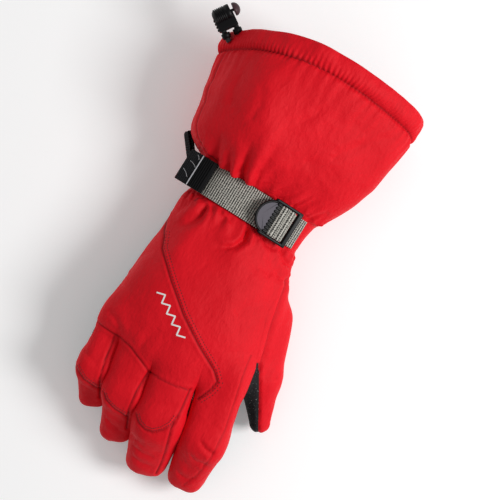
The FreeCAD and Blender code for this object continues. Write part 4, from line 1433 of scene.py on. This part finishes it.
def cord_lock():
    """Ribbed barrel with a slotted skirt, and a domed button on its plunger."""
    place = CORD.moved(0, 15, 1.6)
    profile = [(0.01, -7.9), (2.2, -7.8), (3.9, -7.2), (4.9, -6.2)]
    for rib in range(6):
        x = -5.6 + 1.3 * rib
        profile += [(5.75, x), (5.75, x + 0.6), (5.15, x + 0.8), (5.15, x + 1.1)]
    profile += [(5.5, 2.4), (5.6, 5.0), (5.2, 5.6), (2.0, 5.7), (1.9, 3.0), (0.01, 3.0)]
    shapes = [lathe(profile)]
    shapes.append(soft_box((-7.2, -10.8, 0.4), (6.6, 0, 2.6), 0.7))
    shapes.append(soft_box((-7.2, -10.8, -5.0), (6.6, 0, -3.6), 0.6))
    for side in (-1, 1):
        x = -7.0 if side < 0 else 6.2
        shapes.append(soft_box((x - 0.6, -10.7, -4.8), (x + 0.6, 0, 2.0), 0.5))
    for notch in range(4):
        y = -1.8 - 2.4 * notch
        shapes.append(soft_box((-8.4, y - 0.8, -3.4), (-6.8, y + 0.8, 1.6), 0.6))
    body = solid("cord_lock_barrel", place, shapes, "black_plastic", "cord_lock",
                 "cord_lock_body")
    rod = [(0.01, -0.5), (1.0, -0.4), (1.0, 8.2)]
    dome = [(4.2, 7.9), (4.8, 8.1)] + arc_points(0, 8.4, 4.9, 4.2, 0, 88, 14)
    points, faces = lathe(rod + dome)
    plunger = solid("cord_lock_button", place, [(points, faces)], "button_plum",
                    "cord_lock_plunger", "cord_lock_plunger", slot="black_plastic")
    return [body, plunger]


def line_points(line, spacing, offset=0.0):
    """Places along a line seen from above at even spacing, to one side, with directions."""
    line = np.array(line, float)
    _, passed = runs_of(line)
    at = np.arange(spacing / 2, passed[-1], spacing)
    points = np.stack([np.interp(at, passed, line[:, i]) for i in range(2)], -1)
    # directions are evened out so that rows turn smoothly
    ahead = np.stack([np.interp(at + 3, passed, line[:, i])
                      - np.interp(at - 3, passed, line[:, i]) for i in range(2)], -1)
    ahead = unit(ahead)
    left = np.stack([-ahead[:, 1], ahead[:, 0]], -1)
    return points + left * offset, ahead


def stitches(name, line, offsets, spacing, bodies, blend=None):
    """Rows of short stitches lying on the skin beside a seam, in red thread darkened with painted
    shade of the stitch holes.
    """
    shape, faces = soft_box((-0.62, -0.28, -0.25), (0.62, 0.28, 0.22), 0.2, 2)
    parts = []
    for offset in offsets:
        for place, ahead in zip(*line_points(line, spacing, offset)):
            found = skin_under(*place)
            if not found or found[1].z < 0.25:
                continue
            up = np.array(found[1])
            along = unit(np.array([*ahead, 0]) - up * (np.array([*ahead, 0]) @ up))
            turn = np.stack([along, np.cross(up, along), up], 0)
            parts.append((shape @ turn + np.array(found[0]), faces))
    points, faces = joined(parts)
    obj = mesh_object(name, points, faces, "stitch_red_painted_shade")
    if blend:
        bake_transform(obj)
    else:
        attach(obj, bodies)


def seam_stitches():
    stitches("diagonal_seam_stitches", DIAGONAL_SEAM[1:], (1.9, 4.0), 2.1, "hand")
    for name, line in (("middle", MIDDLE_TIP), ("ring", RING_TIP), ("pinky", PINKY_TIP)):
        knuckle, _, along, length = finger_frame(name)
        blend = [tuple((knuckle + along * at) * MM) for at in (length - 11, length + 9)]
        stitches(name + "_tip_stitches", line, (1.0, 2.6), 1.9, (name + "_base", name + "_tip"),
                 blend)


def plain_mark():
    """A plain white zigzag printed beside the diagonal seam."""
    start, end = np.array([-41.5, -38.5]), np.array([-13.5, -62.0])
    teeth, height, width, lift = 9, 2.3, 1.1, 0.12
    ahead = unit(end - start)
    left = np.array([-ahead[1], ahead[0]])
    corners = [start + (end - start) * i / teeth + left * height * (1 if i % 2 else -1)
               for i in range(teeth + 1)]
    strips = []
    for a, b in zip(corners, corners[1:]):
        run = unit(b - a)
        out = np.array([-run[1], run[0]])
        steps = np.linspace(-0.03, 1.03, 12)
        rows = []
        for step in steps:
            middle = a + (b - a) * step
            for side in (-1, 1):
                x, y = middle + out * side * width / 2
                hit = skin_under(x, y)[0]
                rows.append((x, y, hit.z + lift))
        strips.append((np.array(rows), grid_faces(len(steps), 2)))
    points, faces = joined(strips)
    obj = mesh_object("plain_printed_mark", points, faces, "label_white")
    belongs(obj, "hand", "label_white")


def trim():
    seam_stitches()
    plain_mark()
    hem()
    lining()
    care_label()
    strap()
    ladder_lock()
    pull_tab()
    hang_loop()
    pieces = cord_lock() + eyelets()
    cord_loop()


trim()


# ---------------------------------------------------------------- camera and light
def look_from_above():
    """A long lens straight above the back of the hand, turned with the glove's lean."""
    distance, focus_height, view_width, sensor = 1.20, 0.050, 0.350, 36.0
    across, along, lean = 0.003, 0.0135, 25
    data = bpy.data.cameras.new("camera")
    data.sensor_width = sensor
    data.lens = sensor * distance / view_width
    data.clip_end = 20
    camera = bpy.data.objects.new("camera", data)
    bpy.context.collection.objects.link(camera)
    camera.location = (across, along, distance + focus_height)
    camera.rotation_euler = (0, 0, math.radians(lean))
    bpy.context.scene.camera = camera


def area_light(name, place, target, size, power):
    data = bpy.data.lights.new(name, "AREA")
    data.shape = "RECTANGLE"
    data.size, data.size_y = size
    data.energy = power
    light = bpy.data.objects.new(name, data)
    bpy.context.collection.objects.link(light)
    light.location = place
    aim = Vector(target) - Vector(place)
    light.rotation_euler = aim.to_track_quat("-Z", "Y").to_euler()


def studio():
    """Soft key from the thumb side, a weak light from the outer side, a pale floor."""
    area_light("key", (0.87, 0.20, 0.82), (0, 0, 0.03), (0.45, 0.45), 11.0)
    area_light("rim", (-0.9, 0.25, 0.30), (0, 0, 0.04), (0.4, 0.5), 1.2)
    world = bpy.data.worlds.new("room")
    world.use_nodes = True
    world.node_tree.nodes["Background"].inputs[0].default_value = (1, 1, 1, 1)
    world.node_tree.nodes["Background"].inputs[1].default_value = 0.34
    bpy.context.scene.world = world
    bpy.context.scene.view_settings.view_transform = "Standard"
    reach = 4.0
    corners = [(-reach, -reach, 0), (reach, -reach, 0), (reach, reach, 0), (-reach, reach, 0)]
    mesh = bpy.data.meshes.new("floor")
    mesh.from_pydata(corners, [], [(0, 1, 2, 3)])
    floor = bpy.data.objects.new("floor", mesh)
    bpy.context.collection.objects.link(floor)
    paint = new_material("floor_paint", (0.97, 0.97, 0.97), 0.9, Emission_Color=(1, 1, 1, 1),
                         Emission_Strength=0.16)[0]
    floor.data.materials.append(paint)


look_from_above()
studio()
bpy.context.view_layer.update()
